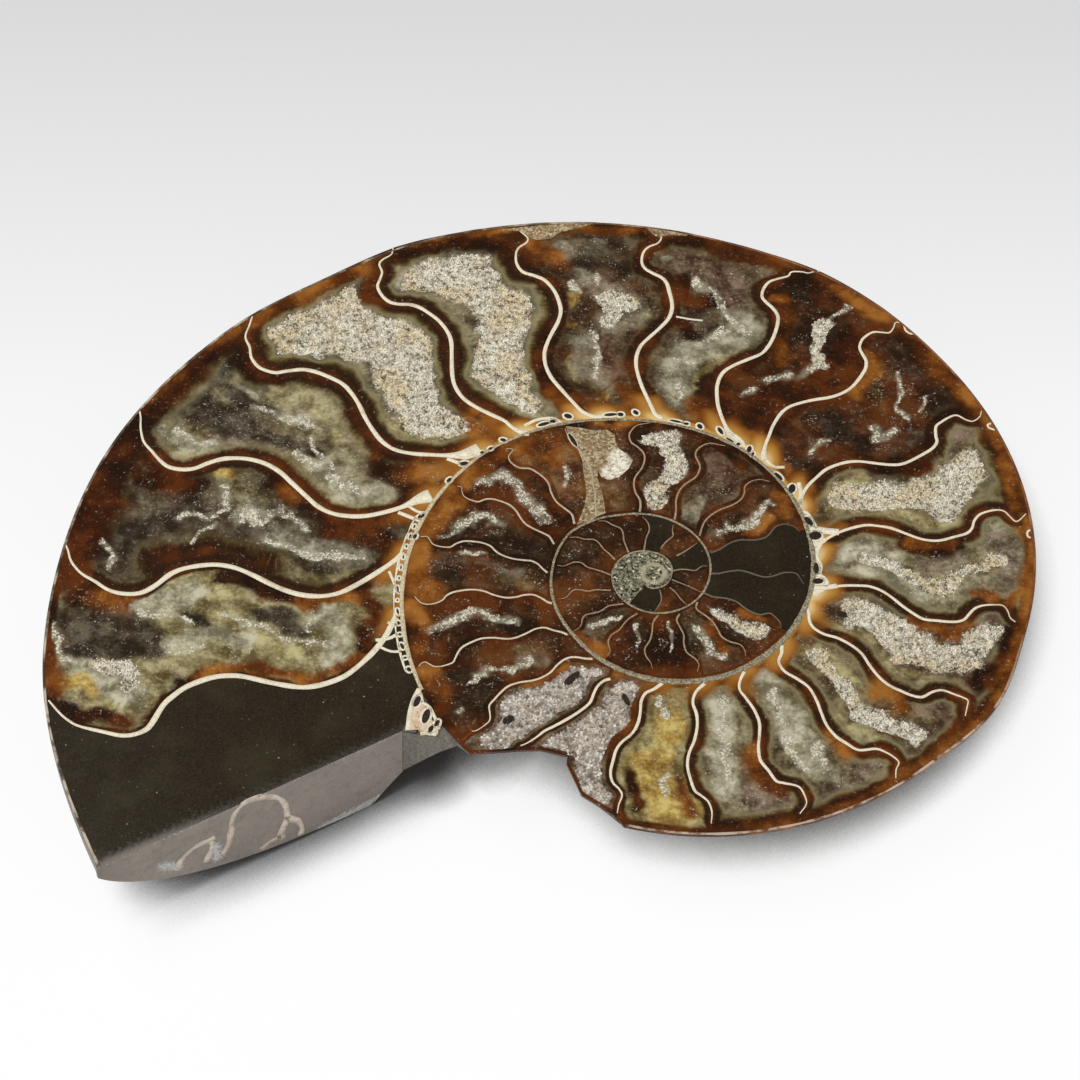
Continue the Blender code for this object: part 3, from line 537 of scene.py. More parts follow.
        ("milk", 1.4, ((23, 23.5), (24.4, 28.4))),
        ("milk", 1.7, ((31.5, 27.3), (37, 27))),
        ("olive", 1.0, ((37.5, 26), (38.8, 28.2))),
        ("amber", 1.4, ((19, 19.8), (20.6, 18))),
        ("veil", 0.5, ((36.3, 39), (36, 34), (35.4, 31))),
        ("veil", 0.8, ((36, 30.9), (36.5, 30.6))),
        ("veil", 0.8, ((31.5, 28.6), (32, 25.8), (34.5, 27.5))),
        ("veil", 0.6, ((24.4, 25.5), (22.8, 23.4))),
        ("veil", 0.4, ((40.5, 35.5), (38.4, 33))),
    )),
    10: Filling((1.7, 1.4, 3.0, 1.3), {"olive": 0.35, "mauve": 0.3}, (
        ("brown", 2.0, ((32, 20.6), (37, 20.6), (39.5, 22.5))),
        ("druse", 3.2, ((27.5, 15.3), (33, 15.6), (40, 16.4), (43.5, 18.5), (46.5, 22.8))),
        ("druse", 2.0, ((41.5, 13.5), (44, 16))),
        ("olive", 1.4, ((25.5, 13), (34, 12.2), (41, 10.8), (44, 12.6))),
        ("olive", 1.2, ((24.2, 15), (26, 17.6), (30, 19))),
        ("mauve", 1.6, ((43, 27.4), (45.5, 28.6))),
        ("mauve", 1.5, ((49.4, 24), (49.6, 17))),
        ("amber", 1.5, ((51, 23), (52.6, 15))),
    )),
    11: Filling((1.3, 1.4, 1.7, 1.3), {"milk": 0.4, "olive": 0.4}, (
        ("brown", 1.6, ((36, 7.2), (40, 5.6), (43.5, 7.2))),
        ("amber", 1.2, ((37, 7.4), (42, 6.8))),
        ("milk", 2.2, ((26.5, 5), (31, 6), (34, 4.5))),
        ("milk", 2.0, ((29, 1.6), (34, 0.2), (38, -2.4))),
        ("druse", 1.0, ((30.5, 4.6), (33.5, 3.2), (37, 0.5))),
        ("druse", 1.6, ((38.5, -0.4), (41, -0.8), (43.4, 1.6))),
        ("druse", 1.2, ((43.5, 1.6), (46.5, 3), (49, 4.4))),
        ("mauve", 2.2, ((46, 10), (49.5, 9), (50.5, 5), (50.5, 0.5))),
        ("mauve", 1.6, ((39, 3.4), (43, 4.6))),
        ("amber", 1.2, ((50, -3.4), (52.6, 0), (53.6, 6), (53.2, 10.4))),
        ("amber", 1.0, ((46, -1.8), (48.6, -1.6))),
    )),
    12: Filling((1.3, 1.4, 2.4, 1.3), {"mauve": 0.45, "smoke": 0.2}, (
        ("druse", 3.0, ((29, -5.4), (33, -7.8), (35.5, -11.6), (39.5, -13.2), (45, -12.8), (47.2, -9))),
        ("olive", 1.3, ((24.6, -3.6), (29, -3))),
        ("olive", 1.3, ((25, -7.6), (29.5, -9.8), (32.2, -13.6), (34.4, -16.6), (38, -17.6))),
        ("amber", 1.7, ((36.6, -7.6), (40.5, -8.4), (44.5, -7.8))),
        ("mauve", 1.0, ((45, -5.4), (47.6, -5))),
        ("brown", 1.6, ((49.8, -8), (48.8, -13), (45.4, -18))),
        ("amber", 1.0, ((51.4, -8), (50, -13), (47, -18))),
    )),
    13: Filling((1.3, 1.3, 2.6, 1.2), {"olive": 0.4, "mauve": 0.35}, (
        ("olive", 1.8, ((21, -11.6), (24.5, -13.8), (27.5, -17))),
        ("olive", 1.4, ((25, -23.5), (27.5, -26.4), (31, -27.6))),
        ("druse", 1.3, ((22.8, -13), (25, -16), (27.2, -19.6), (28.6, -22))),
        ("druse", 1.9, ((29, -23), (32.5, -24.6), (36, -26))),
        ("amber", 1.9, ((31, -18.6), (34.5, -21.4))),
        ("mauve", 2.2, ((38, -21.4), (41.6, -21), (41, -25), (37, -29))),
        ("brown", 1.4, ((43, -24), (39, -29.6), (34.5, -33))),
    )),
    14: Filling((1.3, 1.2, 2.4, 1.2), {"milk": 0.3, "olive": 0.35}, (
        ("milk", 2.3, ((15.6, -17), (17.6, -21), (19.2, -26), (21, -30), (23.6, -33))),
        ("veil", 0.8, ((17, -19.6), (18.6, -23.4), (18.4, -28), (21, -32))),
        ("veil", 0.8, ((22.4, -28.4), (22.8, -31))),
        ("mauve", 2.4, ((28, -30.4), (31, -32), (28, -35.5), (24, -37))),
        ("amber", 1.6, ((24, -26.4), (26.4, -29))),
        ("brown", 1.2, ((32, -34.6), (25, -39))),
    )),
    15: Filling((1.2, 1.2, 2.4, 1.2), {"milk": 0.3, "olive": 0.4}, (
        ("milk", 2.6, ((9, -20), (10, -25), (9.4, -31), (10, -36))),
        ("veil", 0.8, ((9.4, -22), (10.3, -28), (9.8, -31), (10.4, -35))),
        ("mauve", 2.6, ((13, -36), (17, -38), (14, -40.5))),
        ("amber", 1.6, ((13.6, -30), (14.6, -34), (17, -36.4))),
    )),
    16: Filling((0.9, 0.9, 1.2, 1), {"olive": 0.75}, (
        ("olive", 2.6, ((2.5, -22), (3, -27), (2, -30))),
        ("gold", 1.8, ((-2, -32), (1.5, -31.5))),
        ("gold", 2.6, ((2.4, -25), (2.4, -28))),
        ("gold", 3.0, ((-1, -35), (2, -38), (2, -41), (6, -38))),
        ("brown", 1.3, ((-3, -35), (-2, -39.5))),
        ("amber", 1.2, ((4, -35), (5.6, -40))),
        ("veil", 0.8, ((1.5, -22), (2, -24.5))),
        ("veil", 0.5, ((1.5, -35), (2, -37.5))),
    )),
    17: Filling((0.8, 0.8, 0.4, 0.9), {"mauve": 0.6}, (
        ("druse", 3.4, ((-3.5, -22), (-4.5, -27), (-7, -31), (-8, -36), (-6.5, -39))),
        ("druse", 3.0, ((-8, -26), (-12, -29), (-15, -31))),
        ("amber", 1.2, ((-3, -22.5), (-3.2, -26), (-6, -31))),
    )),
    18: Filling((0.8, 0.8, 0.4, 0.9), {"mauve": 0.6}, (
        ("druse", 3.0, ((-8.5, -18), (-12, -20.5), (-16, -22.5), (-19.5, -26), (-21, -29))),
        ("druse", 3.0, ((-13, -23), (-17, -27), (-20, -30))),
        ("amber", 1.0, ((-9, -17), (-13, -19), (-17, -21))),
    )),
    19: Filling((0.8, 0.8, 1.2, 0.8), {"brown": 0.75}, (
        ("mauve", 1.8, ((-27, -21), (-25, -24), (-24.4, -19))),
        ("olive", 1.2, ((-22, -15.6), (-18, -14.8), (-14.5, -14))),
        ("milk", 1.1, ((-18, -16.2), (-14.4, -15.6))),
        ("milk", 1.0, ((-24, -18.6), (-21, -17.6))),
        ("veil", 0.6, ((-24.5, -20.5), (-22.5, -17.4), (-19, -17.5), (-16.4, -16))),
        ("veil", 0.5, ((-26.6, -24.4), (-26, -24.2))),
        ("amber", 1.8, ((-31.5, -18.6), (-28.6, -20), (-29, -24))),
    )),
    20: Filling((0.8, 0.9, 1.2, 0.8), {"brown": 0.85}, (
        ("milk", 0.9, ((-29, -10.5), (-25, -8.2), (-20, -8.8))),
        ("olive", 0.9, ((-18.5, -8.8), (-16, -8.4))),
        ("veil", 0.9, ((-31, -12), (-28, -9.6), (-25, -7.6), (-21.4, -9), (-19, -9.2))),
        ("mauve", 1.2, ((-31, -14), (-28, -14.6))),
        ("amber", 1.6, ((-34, -8), (-32, -11), (-32.6, -15))),
    )),
    21: Filling((0.8, 0.9, 1.2, 0.8), {"brown": 0.7}, (
        ("mauve", 1.6, ((-28.5, 0), (-25, -0.6))),
        ("olive", 1.4, ((-22, -1.8), (-17.4, -3))),
        ("milk", 0.9, ((-24.8, 1), (-22, 0.2), (-19.6, -1.4))),
        ("amber", 2.2, ((-33.4, 3), (-33, -3), (-31, -5))),
        ("veil", 0.5, ((-27, 2.4), (-24, 2.8))),
    )),
    22: Filling((0.8, 0.9, 1.1, 0.8), {"brown": 0.75}, (
        ("milk", 1.0, ((-28, 7.2), (-25.5, 8.8), (-22.5, 8))),
        ("smoke", 1.4, ((-21, 5.4), (-17, 3.6))),
        ("olive", 0.8, ((-20.6, 5.2), (-18, 4.0))),
        ("veil", 1.0, ((-27.6, 7.4), (-25.4, 9), (-23, 8.4))),
        ("veil", 0.6, ((-30.4, 5), (-27.6, 6.6))),
        ("amber", 2.0, ((-32, 5.4), (-30.6, 9.4), (-28.6, 12.6))),
    )),
    23: Filling((0.8, 0.9, 1.1, 0.8), {"brown": 0.85}, (
        ("mauve", 1.0, ((-21, 12.4), (-18, 9.6))),
        ("veil", 1.1, ((-24.6, 16), (-22, 16.8), (-19.6, 14.8), (-18, 12), (-16, 9))),
        ("amber", 1.7, ((-27, 15.6), (-24.6, 19), (-22, 21))),
        ("amber", 0.9, ((-15.4, 13), (-13, 10.6))),
    )),
    24: Filling((0.9, 0.9, 1.2, 0.8), {"amber": 0.45, "brown": 0.45}, (
        ("amber", 2.2, ((-19.6, 21.6), (-15, 24), (-14.6, 20))),
        ("mauve", 1.9, ((-13.4, 19.6), (-12, 16), (-11.6, 12.6))),
        ("veil", 0.5, ((-13, 19), (-12.6, 15))),
    )),
    25: Filling((0.8, 0.8, 1.0, 0.7), {"brown": 0.7}, (
        ("olive", 1.6, ((-6.6, 15.4), (-5.4, 13.4))),
        ("amber", 0.9, ((-9, 27.4), (-3, 27.6))),
    )),
    26: Filling((1.0, 0.9, 1.0, 0.8), {"brown": 0.7}, (
        ("druse", 1.6, ((0, 25.2), (2.6, 24.6), (2.4, 21), (3.2, 19.4), (1.4, 17.6), (0.4, 15), (0.4, 13.6))),
        ("amber", 0.8, ((-0.4, 12.6), (0.6, 11.6))),
    )),
    27: Filling((0.9, 0.9, 1.2, 0.8), {"brown": 0.5, "mauve": 0.4}, (
        ("mauve", 2.6, ((8, 21.4), (11, 17.6))),
        ("milk", 1.4, ((6.4, 13.6), (5.4, 11.6))),
        ("brown", 1.6, ((13, 20.6), (10, 23.4))),
    )),
    28: Filling((0.9, 0.9, 1.2, 0.8), {"brown": 0.7}, (
        ("veil", 0.8, ((9, 7.6), (10.8, 9.2), (14, 10), (15.6, 11.6), (16.2, 13.6))),
        ("veil", 0.4, ((17, 13), (17.6, 12.6))),
        ("amber", 1.0, ((14, 8.4), (17, 10.4))),
        ("amber", 1.2, ((17.6, 15), (19.6, 11))),
    )),
    31: Filling((0.8, 0.8, 1.0, 0.7), {"brown": 0.7}, (
        ("druse", 1.1, ((9.2, -6.2), (11.2, -7.8), (13, -9.6), (14.8, -9.8))),
        ("amber", 0.9, ((12.4, -6.6), (15.4, -7.8))),
    )),
    32: Filling((0.7, 0.7, 0.9, 0.6), {"brown": 0.6}, (
        ("veil", 0.8, ((6.4, -9.6), (7, -11.6), (7.6, -13.4), (9.6, -14))),
        ("amber", 1.3, ((8, -9.4), (9.6, -12.6))),
    )),
    33: Filling((0.7, 0.7, 0.9, 0.6), {"brown": 0.9}, (("veil", 0.3, ((2.2, -9), (2.6, -13)),),)),
    34: Filling((0.7, 0.7, 0.9, 0.6), {"brown": 0.8}, (("veil", 0.3, ((-1.8, -9), (-2.4, -13)),),)),
    35: Filling((0.7, 0.7, 0.9, 0.6), {"brown": 0.5, "mauve": 0.3}, (
        ("veil", 0.6, ((-9, -9.4), (-7.5, -9.6), (-5, -8.4))),
        ("amber", 1.4, ((-11, -11.6), (-7, -14.4))),
    )),
}
# Inner chambers with nothing of their own are amber through and through.
PLAIN_FILLING = Filling((0.5, 0.5, 0.6, 0.5), {"amber": 0.15, "brown": 0.75}, ())
KINDS = ("amber", "brown", "gold", "olive", "milk", "mauve", "smoke", "druse", "veil")
# A druse narrower than this to each side is a veil of fine needles instead, level with the polish.
THINNEST_DRUSE = 1.0

# ------------------------------------------------------------------ meshes and pieces

# How deep each layer of the face starts and ends below z = 0.
FILLING_TOP = -0.06
SEPTUM_TOP = -0.02
WEB_TOP = -0.01
WALL_TOP = 0.0
PORE_TOP = 0.01
PLATE_BOTTOM = -0.47
FLANK_TOP = -0.48
FACE_TO_METRES = FACE_TO_ROW @ Matrix.Scale(MM, 4)


def new_mesh(name, points, faces, edges=(), attributes=None):
    mesh = bpy.data.meshes.new(name)
    mesh.from_pydata([tuple(point) for point in points], list(edges), [tuple(face) for face in faces])
    for key, values in (attributes or {}).items():
        layer = mesh.attributes.new(key, "FLOAT", "POINT")
        layer.data.foreach_set("value", np.asarray(values, np.float32))
    mesh.update()
    return mesh


def seat(name, mesh, material, place=FACE_TO_METRES):
    """Makes a finished piece of this mesh, where the stone lies, standing for the stone."""
    mesh.transform(place)
    mesh.materials.clear()
    mesh.materials.append(material)
    piece = bpy.data.objects.new(name, mesh)
    bpy.context.scene.collection.objects.link(piece)
    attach(piece, BODY)
    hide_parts(STONE)
    return piece


def plate_faces(top_faces, ring, count):
    """The faces of a plate: its top, a skirt round the ring and a flat bottom on points after count."""
    size = len(ring)
    skirt = []
    for place in range(size):
        after = (place + 1) % size
        skirt.append((ring[after], ring[place], count + place, count + after))
    return [*top_faces, *skirt, tuple(count + place for place in reversed(range(size)))]


def area_of(outline):
    x, y = np.asarray(outline, float).T
    return float(np.sum(x * np.roll(y, -1) - y * np.roll(x, -1)) / 2)


def counter_clockwise(outline):
    outline = np.asarray(outline, float)
    return outline if area_of(outline) > 0 else outline[::-1]


def within(points, ring):
    """Which points lie inside the ring."""
    x, y = points[:, 0], points[:, 1]
    crossings = np.zeros(len(points), int)
    for start, end in zip(ring, np.roll(ring, -1, axis=0)):
        spans = (start[1] > y) != (end[1] > y)
        run = end[1] - start[1] if end[1] != start[1] else 1e-9
        crossings += spans & (start[0] + (y - start[1]) / run * (end[0] - start[0]) > x)
    return crossings % 2 == 1


def filled_outline(outline, step):
    """Points over the inside of an outline, the outline's first, and the triangles that join them."""
    ring = counter_clockwise(outline)
    low, high = ring.min(0), ring.max(0)
    rows = np.arange(low[1], high[1], step)
    spots = []
    for number, y in enumerate(rows):
        x = np.arange(low[0] + (number % 2) * step / 2, high[0], step)
        spots.append(np.stack([x, np.full_like(x, y)], axis=-1))
    spots = np.vstack(spots)
    spots = spots[within(spots, ring)]
    clear = distance_to_path(spots, np.vstack([ring, ring[:1]])) > step * 0.45
    spots = spots[clear]
    edges = [(place, (place + 1) % len(ring)) for place in range(len(ring))]
    points = [Vector(point) for point in (*ring, *spots)]
    made = delaunay_2d_cdt(points, edges, [list(range(len(ring)))], 1, 1e-5)
    return ring, np.array([tuple(point) for point in made[0]]), [tuple(face) for face in made[2]]


def outline_plate(name, outline, step, height, attributes=None, bottom=PLATE_BOTTOM):
    """A closed plate over an outline, its top at height(points) and with attributes(points)."""
    ring, points, faces = filled_outline(outline, step)
    tops = height(points) if callable(height) else np.full(len(points), float(height))
    low = np.column_stack([points[: len(ring)], np.full(len(ring), bottom)])
    places = np.vstack([np.column_stack([points, tops]), low])
    faces = plate_faces(faces, list(range(len(ring))), len(points))
    values = attributes(np.vstack([points, points[: len(ring)]])) if attributes else {}
    return new_mesh(name, places, faces, attributes=values)


# ------------------------------------------------------------------ node helpers


def add_node(tree, kind, inputs=None, **settings):
    node = tree.nodes.new(kind)
    for key, value in settings.items():
        setattr(node, key, value)
    for key, value in (inputs or {}).items():
        if isinstance(value, bpy.types.NodeSocket):
            tree.links.new(value, node.inputs[key])
        else:
            node.inputs[key].default_value = value
    return node


def new_geometry_tree(name, sizes):
    """A Geometry Nodes tree with named inputs: (name, socket type)."""
    tree = bpy.data.node_groups.new(name, "GeometryNodeTree")
    tree.interface.new_socket("Geometry", in_out="INPUT", socket_type="NodeSocketGeometry")
    tree.interface.new_socket("Geometry", in_out="OUTPUT", socket_type="NodeSocketGeometry")
    for label, kind in sizes:
        tree.interface.new_socket(label, in_out="INPUT", socket_type=kind)
    return tree, tree.nodes.new("NodeGroupInput"), tree.nodes.new("NodeGroupOutput")


def made_by_nodes(mesh, tree, values):
    """The plain mesh that a Geometry Nodes tree makes from this one."""
    source = bpy.data.objects.new(mesh.name, mesh)
    bpy.context.scene.collection.objects.link(source)
    modifier = source.modifiers.new("making", "NODES")
    modifier.node_group = tree
    for item in tree.interface.items_tree:
        if item.in_out == "INPUT" and item.name in values:
            modifier[item.identifier] = values[item.name]
    graph = bpy.context.evaluated_depsgraph_get()
    made = bpy.data.meshes.new_from_object(source.evaluated_get(graph))
    source.modifiers.remove(modifier)
    bpy.data.objects.remove(source)
    return made


def ribbon_tree():
    """A strip along every chain of edges, half_width to each side, flat on top and closed below."""
    sizes = (("Thickness", "NodeSocketFloat"), ("Material", "NodeSocketMaterial"))
    tree, given, result = new_geometry_tree("ribbon", sizes)
    width = add_node(tree, "GeometryNodeInputNamedAttribute", {"Name": "half_width"}, data_type="FLOAT")
    curve = add_node(tree, "GeometryNodeMeshToCurve", {"Mesh": given.outputs["Geometry"]})
    upright = add_node(tree, "GeometryNodeSetCurveNormal", {"Curve": curve.outputs[0]}, mode="Z_UP")
    section = add_node(tree, "GeometryNodeCurvePrimitiveLine", {"Start": (-1, 0, 0), "End": (1, 0, 0)})
    strip = add_node(
        tree,
        "GeometryNodeCurveToMesh",
        {"Curve": upright.outputs[0], "Profile Curve": section.outputs[0], "Scale": width.outputs[0]},
    )
    down = add_node(tree, "ShaderNodeMath", {0: given.outputs["Thickness"], 1: -1.0}, operation="MULTIPLY")
    drop = add_node(tree, "ShaderNodeCombineXYZ", {"Z": down.outputs[0]})
    lowered = add_node(
        tree,
        "GeometryNodeExtrudeMesh",
        {"Mesh": strip.outputs[0], "Offset": drop.outputs[0], "Offset Scale": 1.0, "Individual": False},
    )
    turned = add_node(tree, "GeometryNodeFlipFaces", {"Mesh": strip.outputs[0]})
    both = add_node(tree, "GeometryNodeJoinGeometry")
    tree.links.new(lowered.outputs["Mesh"], both.inputs[0])
    tree.links.new(turned.outputs[0], both.inputs[0])
    merged = add_node(tree, "GeometryNodeMergeByDistance", {"Geometry": both.outputs[0], "Distance": 1e-4})
    realised = add_node(tree, "GeometryNodeRealizeInstances", {"Geometry": merged.outputs[0]})
    finished = add_node(
        tree,
        "GeometryNodeSetMaterial",
        {"Geometry": realised.outputs[0], "Material": given.outputs["Material"]},
    )
    tree.links.new(finished.outputs[0], result.inputs[0])
    return tree


def crystal_tree():
    """Small pointed crystals wherever the druse attribute is high, each with its own lean, size and tone."""
    sizes = (
        ("Spacing", "NodeSocketFloat"),
        ("Radius", "NodeSocketFloat"),
        ("Height", "NodeSocketFloat"),
        ("Lean", "NodeSocketFloat"),
        ("Seed", "NodeSocketInt"),
        ("Material", "NodeSocketMaterial"),
    )
    tree, given, result = new_geometry_tree("crystals", sizes)
    druse = add_node(tree, "GeometryNodeInputNamedAttribute", {"Name": "druse"}, data_type="FLOAT")
    share = add_node(
        tree,
        "ShaderNodeMapRange",
        {"Value": druse.outputs[0], "From Min": 0.35, "From Max": 0.65},
        interpolation_type="SMOOTHSTEP",
    )
    area = add_node(
        tree, "ShaderNodeMath", {0: given.outputs["Spacing"], 1: given.outputs["Spacing"]}, operation="MULTIPLY"
    )
    density = add_node(tree, "ShaderNodeMath", {0: 1.6, 1: area.outputs[0]}, operation="DIVIDE")
    spots = add_node(
        tree,
        "GeometryNodeDistributePointsOnFaces",
        {
            "Mesh": given.outputs["Geometry"],
            "Distance Min": given.outputs["Spacing"],
            "Density Max": density.outputs[0],
            "Density Factor": share.outputs[0],
            "Seed": given.outputs["Seed"],
        },
        distribute_method="POISSON",
    )
    tone = add_node(tree, "FunctionNodeRandomValue", {"Seed": given.outputs["Seed"]}, data_type="FLOAT")
    toned = add_node(
        tree,
        "GeometryNodeStoreNamedAttribute",
        {"Geometry": spots.outputs["Points"], "Name": "tone", "Value": tone.outputs[1]},
        data_type="FLOAT",
        domain="POINT",
    )
    most = add_node(tree, "ShaderNodeCombineXYZ", {"X": given.outputs["Lean"], "Y": given.outputs["Lean"], "Z": 3.1})
    least = add_node(tree, "ShaderNodeVectorMath", {0: most.outputs[0], "Scale": -1.0}, operation="SCALE")
    lean = add_node(
        tree,
        "FunctionNodeRandomValue",
        {0: least.outputs[0], 1: most.outputs[0], "Seed": given.outputs["Seed"]},
        data_type="FLOAT_VECTOR",
    )
    growth = add_node(
        tree,
        "FunctionNodeRandomValue",
        {0: (0.7, 0.7, 0.5), 1: (1.3, 1.3, 1.25), "Seed": given.outputs["Seed"]},
        data_type="FLOAT_VECTOR",
    )
    cone = add_node(
        tree,
        "GeometryNodeMeshCone",
        {
            "Vertices": 5,
            "Radius Top": 0.0,
            "Radius Bottom": given.outputs["Radius"],
            "Depth": given.outputs["Height"],
        },
    )
    placed = add_node(
        tree,
        "GeometryNodeInstanceOnPoints",
        {
            "Points": toned.outputs[0],
            "Instance": cone.outputs[0],
            "Rotation": lean.outputs[0],
            "Scale": growth.outputs[0],
        },
    )
    realised = add_node(tree, "GeometryNodeRealizeInstances", {"Geometry": placed.outputs[0]})
    finished = add_node(
        tree,
        "GeometryNodeSetMaterial",
        {"Geometry": realised.outputs[0], "Material": given.outputs["Material"]},
    )
    tree.links.new(finished.outputs[0], result.inputs[0])
    return tree


def ribbons(name, routes, top, thickness, material):
    """A mesh of strips along routes: (path, half width at each point, how dull it is)."""
    points, edges, widths, dullness = [], [], [], []
    for path, half_width, dull in routes:
        first = len(points)
        points += [(x, y, top) for x, y in path]
        edges += [(first + place, first + place + 1) for place in range(len(path) - 1)]
        widths += list(np.broadcast_to(half_width, len(path)))
        dullness += [dull] * len(path)
    mesh = new_mesh(name, points, (), edges, {"half_width": widths, "dull": dullness})
    return made_by_nodes(mesh, RIBBON_TREE, {"Thickness": thickness, "Material": material})


class Paint:
    """Builds one material. Its methods add nodes and return sockets; sizes are in millimetres."""

    def __init__(self, name, roughness=0.3, specular=0.3):
        self.material = bpy.data.materials.new(name)
        self.material.use_nodes = True
        self.tree = self.material.node_tree
        self.shader = self.tree.nodes["Principled BSDF"]
        self.shader.inputs["Roughness"].default_value = roughness
        self.shader.inputs["Specular IOR Level"].default_value = specular
        places = add_node(self.tree, "ShaderNodeTexCoord").outputs["Object"]
        scaled = add_node(self.tree, "ShaderNodeVectorMath", {0: places, "Scale": 1 / MM}, operation="SCALE")
        self.places = scaled.outputs[0]
        self.seed = 0

    def attribute(self, name):
        return add_node(self.tree, "ShaderNodeAttribute", attribute_name=name).outputs["Fac"]

    def vector(self, x, y=0.0, z=0.0):
        return add_node(self.tree, "ShaderNodeCombineXYZ", {"X": x, "Y": y, "Z": z}).outputs[0]

    def part_of(self, vector, axis):
        return add_node(self.tree, "ShaderNodeSeparateXYZ", {0: vector}).outputs[axis]

    def moved(self, vector):
        """The same places for the next texture, shifted so that no two textures line up."""
        self.seed += 1
        shift = (17.3 * self.seed, -9.1 * self.seed, 5.7 * self.seed)
        return add_node(self.tree, "ShaderNodeVectorMath", {0: vector, 1: shift}, operation="ADD").outputs[0]

    def noise(self, size, detail=3.0, roughness=0.55, distortion=0.0, at=None):
        inputs = {
            "Vector": self.moved(at or self.places),
            "Scale": 1 / size,
            "Detail": detail,
            "Roughness": roughness,
            "Distortion": distortion,
        }
        return add_node(self.tree, "ShaderNodeTexNoise", inputs).outputs["Fac"]

    def cells(self, size, feature="F1", at=None):
        """A Voronoi texture: its distance, as a share of its size, and a random value for each cell."""
        node = add_node(
            self.tree, "ShaderNodeTexVoronoi", {"Vector": self.moved(at or self.places), "Scale": 1 / size},
            feature=feature,
        )
        return node.outputs["Distance"], self.part_of(node.outputs["Color"], 0) if feature == "F1" else None

    def fade(self, value, low, high):
        inputs = {"Value": value, "From Min": low, "From Max": high}
        return add_node(self.tree, "ShaderNodeMapRange", inputs, interpolation_type="SMOOTHSTEP").outputs[0]

    def reckon(self, operation, first, second=0.0, clamp=False):
        inputs = {0: first, 1: second}
        return add_node(self.tree, "ShaderNodeMath", inputs, operation=operation, use_clamp=clamp).outputs[0]

    def mix(self, share, first, second):
        node = add_node(self.tree, "ShaderNodeMix", data_type="RGBA")
        sockets = [socket for socket in node.inputs if socket.type == "RGBA" or socket.name == "Factor"]
        factor = sockets[0]
        colours = [socket for socket in node.inputs if socket.type == "RGBA"]
        for socket, value in ((factor, share), (colours[0], first), (colours[1], second)):
            if isinstance(value, bpy.types.NodeSocket):
                self.tree.links.new(value, socket)
            else:
                socket.default_value = (*value, 1) if isinstance(value, tuple) else value
        return next(socket for socket in node.outputs if socket.type == "RGBA")

    def ramp(self, value, stops):
        """Colours along a value: (place, colour)."""
        node = add_node(self.tree, "ShaderNodeValToRGB", {"Fac": value})
        elements = node.color_ramp.elements
        while len(elements) < len(stops):
            elements.new(0.5)
        for element, (place, colour) in zip(elements, stops):
            element.position = place
            element.color = (*colour, 1)
        return node.outputs["Color"]

    def colour(self, value):
        self.tree.links.new(value, self.shader.inputs["Base Color"])

    def roughness(self, value):
        self.tree.links.new(value, self.shader.inputs["Roughness"])

    def bump(self, height, depth, strength=1.0):
        """Relief this many millimetres deep."""
        inputs = {"Height": height, "Distance": depth * MM, "Strength": strength}
        node = add_node(self.tree, "ShaderNodeBump", inputs)
        self.tree.links.new(node.outputs[0], self.shader.inputs["Normal"])

# ------------------------------------------------------------------ finishes

